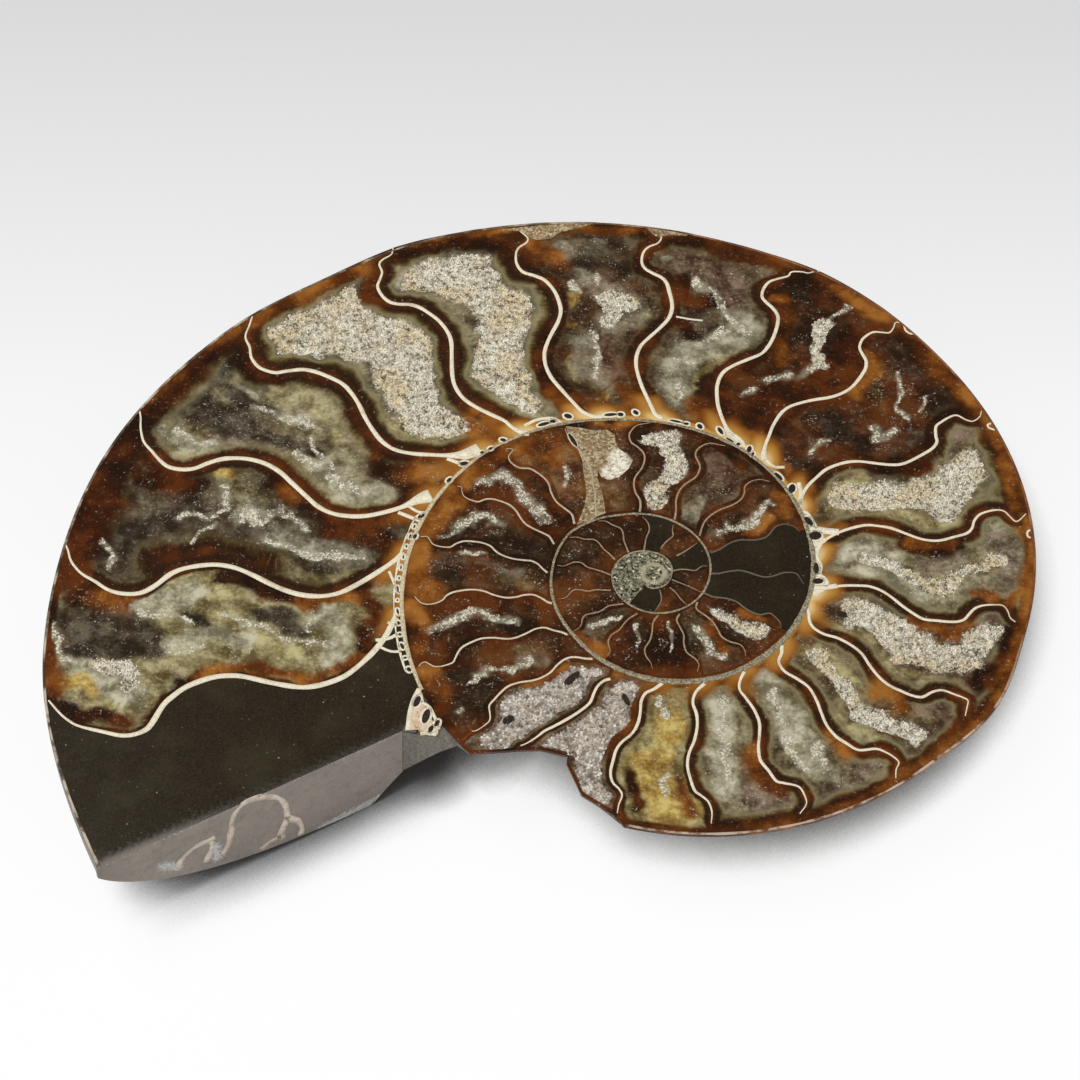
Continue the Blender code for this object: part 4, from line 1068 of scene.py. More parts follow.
def chamber_finish():
    """Calcite of many colours in a chamber, inside its dark fibrous lining."""
    paint = Paint("chamber_calcite", roughness=0.16)
    depth, edge, along = (paint.attribute(name) for name in ("depth", "edge", "along"))
    cloud = paint.noise(3.2, 4, 0.55, 0.3)
    fine = paint.noise(0.55, 4, 0.65)
    broad = paint.noise(7.0, 2, 0.5)
    fibre_places = paint.vector(
        paint.reckon("MULTIPLY", along, 2.2), paint.reckon("MULTIPLY", edge, 0.3)
    )
    fibres = paint.noise(1.0, 3, 0.6, at=fibre_places)

    def total(*shares):
        """The sum of (value, weight), each value measured from its middle, about a middle of 0.5."""
        result = 0.5
        for value, weight in shares:
            result = paint.reckon("ADD", paint.reckon("MULTIPLY", paint.reckon("SUBTRACT", value, 0.5), weight), result)
        return result

    light = total((cloud, 1.3), (fine, 0.6))
    glow = total((broad, 1.5), (cloud, 0.6), (fine, 0.3), (fibres, 0.25))
    clouded = paint.reckon("SUBTRACT", paint.noise(2.4, 4, 0.6), 0.5)

    def patch(kind, low=0.1, high=0.9, reach=0.8):
        """Where this kind shows: its mark, with clouded edges."""
        return paint.fade(paint.reckon("ADD", paint.attribute(kind), paint.reckon("MULTIPLY", clouded, reach)), low, high)

    def shades(dark, middle, pale, by=light):
        return paint.ramp(by, ((0.32, dark), (0.5, middle), (0.70, pale)))

    wavy = paint.reckon("ADD", total((fine, 0.3), (fibres, 0.3)), paint.reckon("SUBTRACT", depth, 0.5))
    reach = paint.reckon("DIVIDE", wavy, 2.2)
    dark_rind = paint.ramp(
        reach,
        ((0.0, (0.115, 0.036, 0.008)), (0.09, (0.052, 0.018, 0.006)), (0.28, (0.024, 0.011, 0.006)),
         (0.38, (0.046, 0.026, 0.009)), (0.46, (0.13, 0.092, 0.032)), (0.56, (0.25, 0.215, 0.112)),
         (0.66, (0.17, 0.145, 0.088)), (0.75, (0.25, 0.225, 0.145))),
    )
    red_rind = paint.ramp(
        reach,
        ((0.0, (0.21, 0.066, 0.011)), (0.16, (0.110, 0.027, 0.006)), (0.36, (0.055, 0.016, 0.005)),
         (0.46, (0.110, 0.060, 0.018)), (0.58, (0.26, 0.205, 0.090)), (0.75, (0.25, 0.220, 0.130))),
    )
    rind = paint.mix(paint.fade(glow, 0.45, 0.75), dark_rind, red_rind)
    streak = paint.reckon("MULTIPLY", paint.fade(fibres, 0.62, 0.74), paint.fade(depth, 1.2, 0.8))
    rind = paint.mix(paint.reckon("MULTIPLY", streak, 0.55), rind, (0.22, 0.115, 0.040))

    inner = shades((0.042, 0.026, 0.013), (0.095, 0.065, 0.033), (0.20, 0.155, 0.085))
    for kind, dark, middle, pale in (
        ("olive", (0.130, 0.094, 0.030), (0.290, 0.235, 0.098), (0.53, 0.465, 0.225)),
        ("mauve", (0.050, 0.026, 0.016), (0.120, 0.070, 0.043), (0.26, 0.18, 0.12)),
        ("milk", (0.165, 0.142, 0.084), (0.335, 0.305, 0.198), (0.59, 0.55, 0.40)),
        ("smoke", (0.024, 0.017, 0.010), (0.056, 0.042, 0.027), (0.125, 0.105, 0.070)),
        ("gold", (0.20, 0.105, 0.025), (0.40, 0.26, 0.065), (0.64, 0.50, 0.17)),
    ):
        inner = paint.mix(patch(kind), inner, shades(dark, middle, pale))
    early, late = paint.fade(wavy, 0.7, 1.25), paint.fade(wavy, 1.0, 1.9)
    delay = paint.reckon("MULTIPLY", paint.attribute("halo"), paint.reckon("SUBTRACT", late, early))
    colour = paint.mix(paint.reckon("ADD", early, delay), rind, inner)
    brown = shades((0.018, 0.008, 0.004), (0.043, 0.012, 0.004), (0.105, 0.028, 0.006), glow)
    colour = paint.mix(patch("brown", 0.15, 0.95, 0.6), colour, brown)
    amber = shades((0.090, 0.024, 0.005), (0.190, 0.058, 0.009), (0.35, 0.135, 0.024), glow)
    colour = paint.mix(patch("amber", -0.05, 1.1, 0.7), colour, amber)
    honey = paint.ramp(
        paint.attribute("honey"),
        ((0.0, (0.16, 0.045, 0.007)), (0.4, (0.30, 0.110, 0.016)), (0.75, (0.52, 0.27, 0.062)),
         (1.0, (0.78, 0.56, 0.25))),
    )
    colour = paint.mix(paint.fade(paint.attribute("honey"), 0.05, 0.5), colour, honey)

    grains = paint.noise(0.34, 4, 0.75)
    flakes = paint.noise(1.3, 3, 0.65, 0.5)
    haze = paint.reckon("MULTIPLY", paint.fade(total((cloud, 0.8), (paint.attribute("veil"), 1.0)), 0.3, 1.1), 0.45)
    colour = paint.mix(haze, colour, (0.42, 0.385, 0.275))
    veil = total((grains, 1.7), (flakes, 1.9), (paint.attribute("veil"), 0.85))
    veil = paint.fade(veil, 0.78, 0.96)
    wisp = paint.reckon("ABSOLUTE", paint.reckon("SUBTRACT", paint.noise(5.0, 3, 0.6, 0.6), 0.5))
    wisp = paint.reckon("MULTIPLY", paint.fade(wisp, 0.06, 0.0), paint.fade(wavy, 1.1, 1.7))
    spark = paint.reckon("ADD", paint.noise(0.30, 3, 0.7), paint.reckon("MULTIPLY", wisp, 0.12))
    spark = paint.reckon("MULTIPLY", paint.fade(spark, 0.66, 0.80), 0.8)
    pale = paint.mix(paint.fade(grains, 0.42, 0.66), (0.36, 0.32, 0.22), (0.90, 0.85, 0.69))
    colour = paint.mix(paint.reckon("MAXIMUM", veil, spark), colour, pale)

    grit = paint.reckon(
        "ADD", paint.attribute("druse"), paint.reckon("MULTIPLY", paint.reckon("SUBTRACT", fine, 0.5), 1.9)
    )
    grit = paint.fade(grit, 0.2, 0.75)
    distance, tone = paint.cells(0.24)
    clumps = paint.reckon("MULTIPLY", paint.reckon("SUBTRACT", paint.noise(0.8, 2, 0.5), 0.44), 1.7)
    tone = paint.reckon("ADD", paint.reckon("MULTIPLY", tone, 0.7), paint.reckon("ADD", clumps, 0.1))
    bed = paint.ramp(
        tone,
        ((0.0, (0.19, 0.155, 0.108)), (0.3, (0.37, 0.32, 0.23)), (0.7, (0.63, 0.57, 0.44)),
         (1.0, (0.95, 0.91, 0.78))),
    )
    bed = paint.mix(paint.reckon("MULTIPLY", paint.attribute("rosy"), 0.7), bed, shades(
        (0.18, 0.135, 0.11), (0.36, 0.30, 0.26), (0.68, 0.62, 0.55)
    ))
    colour = paint.mix(grit, colour, bed)
    paint.colour(colour)
    paint.roughness(paint.reckon("ADD", paint.reckon("MULTIPLY", grit, 0.4), 0.15))
    paint.bump(paint.reckon("MULTIPLY", distance, grit), 0.12)
    return paint.material


def crystal_finish():
    """The druse's crystals: white to cream, tan in patches and rosy grey where the chambers stand open."""
    paint = Paint("druse_crystals", roughness=0.28, specular=0.5)
    patches = paint.reckon("MULTIPLY", paint.reckon("SUBTRACT", paint.noise(2.2, 4, 0.65), 0.48), 1.2)
    clumps = paint.reckon("MULTIPLY", paint.reckon("SUBTRACT", paint.noise(0.8, 2, 0.5), 0.48), 1.7)
    tone = paint.reckon("ADD", paint.reckon("MULTIPLY", paint.attribute("tone"), 0.75), 0.12)
    tone = paint.reckon("ADD", paint.reckon("ADD", tone, patches), clumps)
    pale = paint.ramp(
        tone,
        ((0.0, (0.12, 0.095, 0.062)), (0.2, (0.31, 0.265, 0.185)), (0.42, (0.66, 0.60, 0.465)),
         (0.75, (0.91, 0.87, 0.73)), (1.0, (1.0, 0.98, 0.90))),
    )
    patch = paint.fade(paint.noise(5.0, 3), 0.45, 0.62)
    warm = add_node(
        paint.tree, "ShaderNodeVectorMath", {0: pale, 1: (0.95, 0.81, 0.56)}, operation="MULTIPLY"
    ).outputs[0]
    tinted = paint.mix(paint.reckon("MULTIPLY", patch, 0.75), pale, warm)
    rosy = paint.ramp(
        tone,
        ((0.0, (0.18, 0.13, 0.105)), (0.35, (0.37, 0.31, 0.26)), (0.7, (0.66, 0.60, 0.53)),
         (1.0, (0.90, 0.86, 0.80))),
    )
    paint.colour(paint.mix(paint.attribute("rosy"), tinted, rosy))
    return paint.material


def septum_finish():
    """The nacre of the septa: cream, tan in the inner whorls and grey where rock lies on both sides."""
    paint = Paint("septum_nacre", roughness=0.25)
    dull = paint.attribute("dull")
    worn = paint.fade(paint.noise(3.0, 4, 0.65), 0.52, 0.72)
    grain = paint.fade(paint.noise(0.3, 3), 0.35, 0.65)
    cream = paint.mix(grain, (0.78, 0.70, 0.51), (0.93, 0.86, 0.67))
    cream = paint.mix(paint.reckon("MULTIPLY", worn, 0.6), cream, (0.52, 0.40, 0.24))
    tan = paint.mix(grain, (0.25, 0.18, 0.10), (0.40, 0.31, 0.19))
    colour = paint.mix(paint.fade(dull, 0.0, 0.6), cream, tan)
    paint.colour(paint.mix(paint.fade(dull, 0.6, 1.0), colour, (0.12, 0.105, 0.070)))
    return paint.material


def thick_nacre(name, dark, pale):
    """Thick nacre by the sawn end, patchy, with grey stains."""
    paint = Paint(name, roughness=0.25)
    patch = paint.noise(1.4, 3, 0.6)
    colour = paint.mix(paint.fade(patch, 0.35, 0.65), dark, pale)
    paint.colour(paint.mix(paint.fade(paint.noise(0.5, 3, 0.7), 0.58, 0.7), colour, (0.20, 0.16, 0.11)))
    return paint.material


def wall_finish():
    """The whorls' walls: cream nacre at the left, granular tan and grey-green elsewhere."""
    paint = Paint("shell_wall", roughness=0.3)
    grain = paint.noise(0.28, 3, 0.7)
    patch = paint.noise(2.5, 3, 0.6)
    left = paint.reckon("MULTIPLY", paint.part_of(paint.places, 0), -1 / 20)
    left = paint.fade(paint.reckon("ADD", left, paint.reckon("SUBTRACT", patch, 0.5)), 0.0, 0.8)
    cream = paint.mix(paint.fade(grain, 0.4, 0.6), (0.48, 0.38, 0.22), (0.74, 0.64, 0.44))
    tan = paint.ramp(
        grain, ((0.34, (0.09, 0.065, 0.032)), (0.5, (0.28, 0.235, 0.145)), (0.64, (0.52, 0.465, 0.33)))
    )
    paint.colour(paint.mix(left, tan, cream))
    return paint.material


def rim_finish():
    """The cut edge of the outer shell: a brown rind with paler chips."""
    paint = Paint("shell_rim", roughness=0.35)
    patch = paint.noise(3.5, 4, 0.65)
    grain = paint.noise(0.4, 3, 0.6)
    right = paint.fade(paint.part_of(paint.places, 0), -5.0, 30.0)
    left = paint.ramp(
        patch, ((0.4, (0.055, 0.035, 0.02)), (0.52, (0.20, 0.14, 0.08)), (0.62, (0.52, 0.45, 0.33)))
    )
    brown = paint.ramp(
        patch, ((0.38, (0.11, 0.035, 0.010)), (0.55, (0.25, 0.085, 0.020)), (0.7, (0.36, 0.19, 0.08)))
    )
    colour = paint.mix(right, left, brown)
    low = paint.fade(paint.part_of(paint.places, 1), -12.0, -34.0)
    chipped = paint.reckon("MULTIPLY", low, paint.fade(patch, 0.40, 0.56))
    colour = paint.mix(paint.reckon("MULTIPLY", chipped, 0.85), colour, (0.60, 0.50, 0.39))
    paint.colour(paint.mix(paint.fade(grain, 0.35, 0.2), colour, (0.03, 0.02, 0.012)))
    return paint.material


def rock_finish(name, base, speck, roughness):
    """Fine dark rock with mineral specks."""
    paint = Paint(name, roughness=roughness)
    grain = paint.noise(0.3, 4, 0.7)
    cloud = paint.noise(7.0, 3, 0.6)
    dark = tuple(value * 0.62 for value in base)
    light = tuple(value * 1.5 for value in base)
    colour = paint.mix(paint.fade(grain, 0.3, 0.7), dark, light)
    colour = paint.mix(paint.reckon("MULTIPLY", paint.fade(cloud, 0.45, 0.7), 0.35), colour, speck)
    for size, reach, tint in ((0.7, 0.2, speck), (1.2, 0.13, (0.13, 0.12, 0.055)), (1.9, 0.08, (0.36, 0.32, 0.22))):
        distance, tone = paint.cells(size)
        spots = paint.reckon("MULTIPLY", paint.fade(distance, reach, reach * 0.4), paint.fade(tone, 0.5, 0.6))
        colour = paint.mix(spots, colour, tint)
    # worn: a lighter, rougher band along the sawn edge, strongest at the tip, partly wear and partly a painted
    # highlight on the rounded edge.
    worn = paint.attribute("worn")
    worn = paint.reckon("ADD", worn, paint.reckon("MULTIPLY", paint.reckon("SUBTRACT", grain, 0.5), 0.5))
    colour = paint.mix(paint.fade(worn, 0.1, 0.95), colour, (0.20, 0.175, 0.145))
    paint.colour(colour)
    paint.roughness(paint.reckon("ADD", paint.reckon("MULTIPLY", worn, 0.35, clamp=True), roughness))
    paint.bump(grain, 0.003)
    return paint.material


def saw_finish():
    """The sawn end: pinkish grey rock with faint saw marks, pale crystalline patches and a painted highlight along its
    top edge.
    """
    paint = Paint("sawn_rock", roughness=0.5)
    grain = paint.noise(0.35, 4, 0.7)
    cloud = paint.noise(5.0, 3, 0.6)
    colour = paint.mix(paint.fade(cloud, 0.3, 0.7), (0.185, 0.160, 0.132), (0.245, 0.207, 0.170))
    pink = paint.fade(paint.part_of(paint.places, 0), -45.0, -25.0)
    colour = paint.mix(paint.reckon("MULTIPLY", pink, 0.5), colour, (0.22, 0.180, 0.155))
    mottles = paint.fade(paint.noise(1.3, 4, 0.7), 0.48, 0.68)
    colour = paint.mix(paint.reckon("MULTIPLY", mottles, 0.4), colour, (0.11, 0.098, 0.078))
    colour = paint.mix(paint.reckon("MULTIPLY", paint.fade(grain, 0.52, 0.72), 0.55), colour, (0.33, 0.30, 0.26))
    stretched = add_node(
        paint.tree, "ShaderNodeVectorMath", {0: paint.places, 1: (0.25, 0.25, 2.5)}, operation="MULTIPLY"
    ).outputs[0]
    scratches = paint.noise(1.2, 3, 0.6, at=stretched)
    colour = paint.mix(paint.reckon("MULTIPLY", paint.fade(scratches, 0.6, 0.75), 0.25), colour, (0.36, 0.33, 0.30))
    # pale: the crystalline patches, and a painted highlight along the top edge.
    pale = paint.attribute("pale")
    pale = paint.reckon("ADD", pale, paint.reckon("MULTIPLY", paint.reckon("SUBTRACT", grain, 0.5), 2.2))
    colour = paint.mix(paint.fade(pale, 0.45, 1.0), colour, (0.44, 0.445, 0.43))
    dark = paint.attribute("dark")
    colour = paint.mix(paint.reckon("MULTIPLY", dark, 0.3), colour, (0.09, 0.08, 0.07))
    paint.colour(colour)
    return paint.material


def centre_finish():
    """The innermost whorls: grey-green grains with black and gold specks."""
    paint = Paint("centre_grains", roughness=0.3)
    ring = paint.attribute("ring")
    tone_distance, tone = paint.cells(0.36)
    grains = paint.ramp(
        tone, ((0.0, (0.10, 0.085, 0.045)), (0.35, (0.205, 0.195, 0.125)), (0.8, (0.31, 0.30, 0.21)),
               (0.9, (0.62, 0.54, 0.33)), (1.0, (0.80, 0.72, 0.50))),
    )
    grains = paint.mix(paint.fade(paint.noise(0.42, 3, 0.7), 0.51, 0.57), grains, (0.012, 0.009, 0.006))
    grains = paint.mix(paint.fade(paint.noise(2.2, 2), 0.55, 0.7), grains, (0.085, 0.070, 0.035))
    paint.colour(paint.mix(paint.reckon("MULTIPLY", ring, 0.7), grains, (0.52, 0.46, 0.31)))
    paint.bump(tone_distance, 0.04)
    return paint.material


def vein_finish():
    """The granular tan vein that crosses the inner whorl, white where it is coarse."""
    paint = Paint("granular_vein", roughness=0.4)
    distance, tone = paint.cells(0.32)
    tan = paint.ramp(
        tone, ((0.0, (0.13, 0.085, 0.04)), (0.5, (0.33, 0.24, 0.13)), (1.0, (0.62, 0.50, 0.31)))
    )
    patch = paint.fade(paint.noise(1.8, 3), 0.45, 0.65)
    tan = paint.mix(paint.reckon("MULTIPLY", patch, 0.6), tan, (0.26, 0.155, 0.065))
    white = paint.ramp(tone, ((0.0, (0.30, 0.24, 0.15)), (0.3, (0.72, 0.66, 0.50)), (1.0, (0.95, 0.91, 0.78))))
    paint.colour(paint.mix(paint.attribute("white"), tan, white))
    paint.bump(distance, 0.05)
    return paint.material


def flank_finish():
    """The uncut side: weathered shell, tan to grey-brown, with a dull pearl and mineral stains."""
    paint = Paint("flank_shell", roughness=0.42)
    cloud = paint.noise(11.0, 4, 0.6)
    patch = paint.noise(3.0, 4, 0.65)
    grain = paint.noise(0.4, 4, 0.7)
    colour = paint.ramp(
        cloud,
        ((0.34, (0.085, 0.050, 0.028)), (0.47, (0.20, 0.125, 0.070)), (0.56, (0.33, 0.245, 0.155)),
         (0.68, (0.42, 0.36, 0.27))),
    )
    colour = paint.mix(paint.fade(patch, 0.56, 0.66), colour, (0.24, 0.085, 0.028))
    pearl = paint.reckon("MULTIPLY", paint.fade(paint.noise(6.0, 3), 0.52, 0.66), 0.4)
    colour = paint.mix(pearl, colour, (0.46, 0.50, 0.42))
    suture = paint.attribute("suture")
    colour = paint.mix(paint.reckon("MULTIPLY", suture, 0.75), colour, (0.055, 0.034, 0.02))
    broken = paint.fade(paint.attribute("broken"), 0.3, 0.6)
    rock = paint.mix(paint.fade(grain, 0.35, 0.65), (0.115, 0.101, 0.078), (0.215, 0.192, 0.155))
    colour = paint.mix(broken, colour, rock)
    paint.colour(paint.mix(paint.reckon("MULTIPLY", paint.fade(grain, 0.38, 0.22), 0.6), colour, (0.03, 0.02, 0.014)))
    paint.bump(grain, 0.08)
    return paint.material


def pore_finish():
    # The dark of the pores and hollows: partly dark infill, partly painted shade of their depth.
    paint = Paint("pore_infill_and_shade", roughness=0.5)
    paint.colour(paint.mix(paint.fade(paint.noise(0.3, 2), 0.45, 0.7), (0.012, 0.007, 0.005), (0.06, 0.025, 0.010)))
    return paint.material

# ------------------------------------------------------------------ the fillings between the septa

GRID_STEP = 0.3
# The colours' outlines wander by this much, in blobs of this size.
WANDER = ((0.9, 3.0), (0.35, 0.9))
# How far the honey-coloured glow reaches from a chamber's inner end, and its strength by chamber.
HONEY_REACH = 7.0
HONEY_STRENGTHS = ((1, 0.7), (3, 0.6), (5, 1.0), (12, 1.0), (13, 0.7), (15, 0.5), (17, 0.35), (18, 0.2), (25, 0.0))
# How much of an olive halo a chamber has inside its dark lining.
HALOS = {3: 0.6, 4: 1.0, 5: 1.0, 10: 1.0, 11: 1.0, 12: 0.8, 13: 1.0, 14: 0.9, 15: 0.8, 16: 0.3}
# How amber a chamber is along the outer rim, by its number.
RIM_GLOWS = ((2, 0.0), (3, 0.6), (4, 0.4), (6, 0.2), (8, 0.5), (10, 0.95), (12, 0.85), (16, 0.6), (17, 0.0))
DRUSE_RECESS = 0.33
# A wider stroke of druse keeps clear of the whole lining.
WIDE_DRUSE = 1.8


def septum_course(points):
    """A septum's path, carried on to both walls."""
    turn, share = unrolled(smooth_path(points, GRID_STEP))
    turn = np.concatenate([turn[:1], turn, turn[-1:]])
    share = np.concatenate([[1.0], share, [0.0]])
    return turn, share


def resampled_course(course, count):
    turn, share = course
    lengths = path_lengths(rolled(turn, share))
    places = np.linspace(0, lengths[-1], count)
    return np.interp(places, lengths, turn), np.interp(places, lengths, share)


def chamber_grid(young, old):
    """Rows of (turn, share) from the outer wall to the inner one, each row going from old to young."""
    paths = [rolled(*course) for course in (young, old)]
    rows = round(max(path_lengths(path)[-1] for path in paths) / GRID_STEP) + 1
    young_turn, young_share = resampled_course(young, rows)
    old_turn, old_share = resampled_course(old, rows)
    gaps = np.linalg.norm(rolled(young_turn, young_share) - rolled(old_turn, old_share), axis=1)
    columns = max(4, round(float(np.percentile(gaps, 80)) / GRID_STEP) + 1)
    blend = np.linspace(0, 1, columns)[None, :]
    turn = old_turn[:, None] * (1 - blend) + young_turn[:, None] * blend
    share = old_share[:, None] * (1 - blend) + young_share[:, None] * blend
    return turn, share


def grid_plate(name, turn, share, tops, attributes):
    """A closed plate whose top is a grid of rows and columns."""
    rows, columns = turn.shape
    number = np.arange(rows * columns).reshape(rows, columns)
    faces = []
    for row in range(rows - 1):
        for column in range(columns - 1):
            corners = (
                number[row, column], number[row + 1, column],
                number[row + 1, column + 1], number[row, column + 1],
            )
            faces.append(tuple(int(corner) for corner in corners))
    ring = [*number[:, 0], *number[-1, 1:], *number[-2::-1, -1], *number[0, -2:0:-1]]
    ring = [int(place) for place in ring]
    places = rolled(turn.ravel(), share.ravel())
    low = np.column_stack([places[ring], np.full(len(ring), PLATE_BOTTOM)])
    points = np.vstack([np.column_stack([places, tops]), low])
    skirt = plate_faces(faces, ring, len(places))
    values = {key: np.concatenate([value, value[ring]]) for key, value in attributes.items()}
    return new_mesh(name, points, skirt, attributes=values)


def wandering(points, seed):
    moved = points.copy()
    for turn_number, (reach, size) in enumerate(WANDER):
        for axis in range(2):
            moved[:, axis] += reach * blob_noise(points + 300, size, seed * 10 + turn_number * 2 + axis)
    return moved


def stroke_mark(points, kind, width, route):
    """One on a stroke and zero a little beyond its sides."""
    near, far = {"druse": (0.6, 1.15), "veil": (0.0, 2.1)}.get(kind, (0.1, 1.5))
    return 1 - fade(distance_to_path(points, route), near * width, far * width)


def chamber_marks(number, filling, turn, share):
    """Every attribute of a chamber's filling, at each point of its grid."""
    points = rolled(turn.ravel(), share.ravel())
    rows, columns = turn.shape
    flat_share = share.ravel()
    borders = (
        (rolled(turn[:, 0], share[:, 0]), filling.lining[1]),
        (rolled(turn[:, -1], share[:, -1]), filling.lining[0]),
        (rolled(turn[0], share[0]), filling.lining[2]),
        (rolled(turn[-1], share[-1]), filling.lining[3]),
    )
    to_borders = [distance_to_path(points, border[::3]) for border, _ in borders]
    edge = np.min(to_borders, axis=0)
    scallop = 1 + 0.3 * blob_noise(points + 300, 3.2, number) + 0.15 * blob_noise(points + 300, 1.1, number + 50)
    depth = np.min([reach / (width * scallop) for reach, (_, width) in zip(to_borders, borders)], axis=0)
    radius = np.linalg.norm(points, axis=1)
    down_septum = np.repeat(np.arange(rows) * GRID_STEP, columns)
    beside_septum = np.minimum(*to_borders[:2]) < np.minimum(*to_borders[2:])
    along = np.where(beside_septum, down_septum, turn.ravel() * math.tau * radius)

    moved = wandering(points, number)
    marks = {kind: np.full(len(points), filling.ground.get(kind, 0.0)) for kind in KINDS}
    for kind, width, route in filling.strokes:
        if kind == "rind":
            depth = np.minimum(depth, 0.35 + 0.65 * distance_to_path(moved, route) / width)
            continue
        if kind == "druse" and width < THINNEST_DRUSE:
            kind = "veil"
        mark = stroke_mark(moved, kind, width, route)
        if kind == "druse" and width >= WIDE_DRUSE:
            mark = mark * fade(depth, 1.35, 1.9)
        elif kind in ("druse", "veil"):
            mark = mark * fade(edge, 0.5, 1.1)
        marks[kind] = np.maximum(marks[kind], mark)
    wander = 1 + 0.35 * blob_noise(points + 300, 2.5, number + 90)
    corner = (1 - fade(to_borders[3], 0.2, HONEY_REACH * wander)) * (1 - fade(np.minimum(*to_borders[:2]), 0.6, 4.2))
    by_wall = 0.8 * (1 - fade(to_borders[3], 0.4, 1.5 * wander))
    marks["honey"] = np.maximum(corner, by_wall) * np.interp(number, *zip(*HONEY_STRENGTHS))
    marks["halo"] = np.full(len(points), HALOS.get(number, 0.0))
    marks["brown"] = np.maximum(marks["brown"], 1.1 * (1 - fade(to_borders[2], 0.3, 1.6 * filling.lining[2])))
    by_rim = np.interp(number, *zip(*RIM_GLOWS)) * (1 - fade(to_borders[2], 0.5, 2.4 * wander))
    marks["amber"] = np.maximum(marks["amber"], by_rim)
    return points, {"depth": depth, "edge": edge, "along": along, **marks}


# ------------------------------------------------------------------ the pieces of the face


def crystals_on(name, filling_mesh, spacing, material, seed):
    sizes = {
        "Spacing": spacing, "Radius": spacing * 0.72, "Height": spacing * 1.35,
        "Lean": 0.55, "Seed": seed, "Material": material,
    }
    return made_by_nodes(filling_mesh.copy(), CRYSTAL_TREE, sizes)


def add_chambers(finishes):
    courses = [septum_course(points) for points in SEPTA]
    for number, (young, old) in enumerate(zip(courses, courses[1:]), start=1):
        turn, share = chamber_grid(young, old)
        filling = FILLINGS.get(number, PLAIN_FILLING)
        points, marks = chamber_marks(number, filling, turn, share)
        name = f"chamber_{number:02d}"
        if number in ROCK_CHAMBERS:
            marks = {"worn": np.zeros(len(points))}
            mesh = grid_plate(name, turn, share, np.full(len(points), FILLING_TOP), marks)
            seat(name + "_rock", mesh, finishes["inner_rock"])
            continue
        marks["rosy"] = np.full(len(points), 0.8 if number in OPEN_CHAMBERS else 0.0)
        recess = DRUSE_RECESS * fade(marks["druse"], 0.3, 0.7)
        mesh = grid_plate(name, turn, share, FILLING_TOP - recess, marks)
        if marks["druse"].max() > 0.5:
            spacing = 0.34 if number in OPEN_CHAMBERS else 0.23
            crystals = crystals_on(name, mesh, spacing, finishes["crystals"], number)
            if crystals.polygons:
                seat(name + "_crystals", crystals, finishes["crystals"])
        seat(name + "_calcite", mesh, finishes["chamber"])


# A septum's width by its number.
SEPTUM_WIDTHS = ((1, 0.78), (3, 0.70), (5, 0.60), (8, 0.52), (11, 0.42), (18, 0.40), (19, 0.27), (48, 0.15))
OUTER_SEPTA = 18
# How dull a septum is by its number: 0 is cream, 0.6 tan and 1 grey.
SEPTUM_DULLNESS = (
    (18, 0.0), (19, 0.15), (24, 0.35), (27, 0.5), (28, 0.6), (28.5, 1.0), (31, 0.9), (31.5, 0.5), (48, 0.8)
)
# How much wider a septum grows towards its inner end, and over what length.
FLARES = {3: (1.5, 5.0), 4: (1.6, 6.0), 5: (0.5, 3.0), 8: (1.0, 4.0), 9: (0.5, 3.0), 11: (0.4, 3.0), 12: (0.8, 3.0)}


def add_septa(finishes):
    outer, inner = [], []
    for number, points in enumerate(SEPTA, start=1):
        path = smooth_path(points, 0.25)
        lengths = path_lengths(path)
        width = float(np.interp(number, *zip(*SEPTUM_WIDTHS)))
        widths = width * (0.35 + 0.65 * fade(lengths, 0, 0.32 * lengths[-1]))
        more, reach = FLARES.get(number, (0.25 * width, 2.0))
        widths = widths + more * fade(lengths, lengths[-1] - reach, lengths[-1])
        widths = widths * (1 + 0.12 * blob_noise(path + 300, 2.0, number))
        dull = float(np.interp(number, *zip(*SEPTUM_DULLNESS)))
        (outer if number <= OUTER_SEPTA else inner).append((path, widths / 2, dull))
    for name, routes in (("outer_septa", outer), ("inner_septa", inner)):
        mesh = ribbons(name, routes, SEPTUM_TOP, 0.42, finishes["septum"])
        seat(name, mesh, finishes["septum"])


def arc_of_wall(first, last, step=0.35, offset=0.0):
    count = max(8, round(abs(last - first) * math.tau * float(wall_radius((first + last) / 2)) / step))
    turn = np.linspace(first, last, count)
    return at_polar(turn, wall_radius(turn) + offset)


WALL_END = -0.404
# The inner wall's width by its turn.
WALL_WIDTHS = (
    (-3.35, 0.16), (-2.4, 0.24), (-1.5, 0.34), (-1.35, 0.6), (-1.25, 0.85), (-1.0, 0.75), (-0.85, 0.5),
    (-0.75, 0.42), (-0.6, 0.40), (-0.54, 0.62), (-0.45, 0.6), (-0.404, 0.5),
)
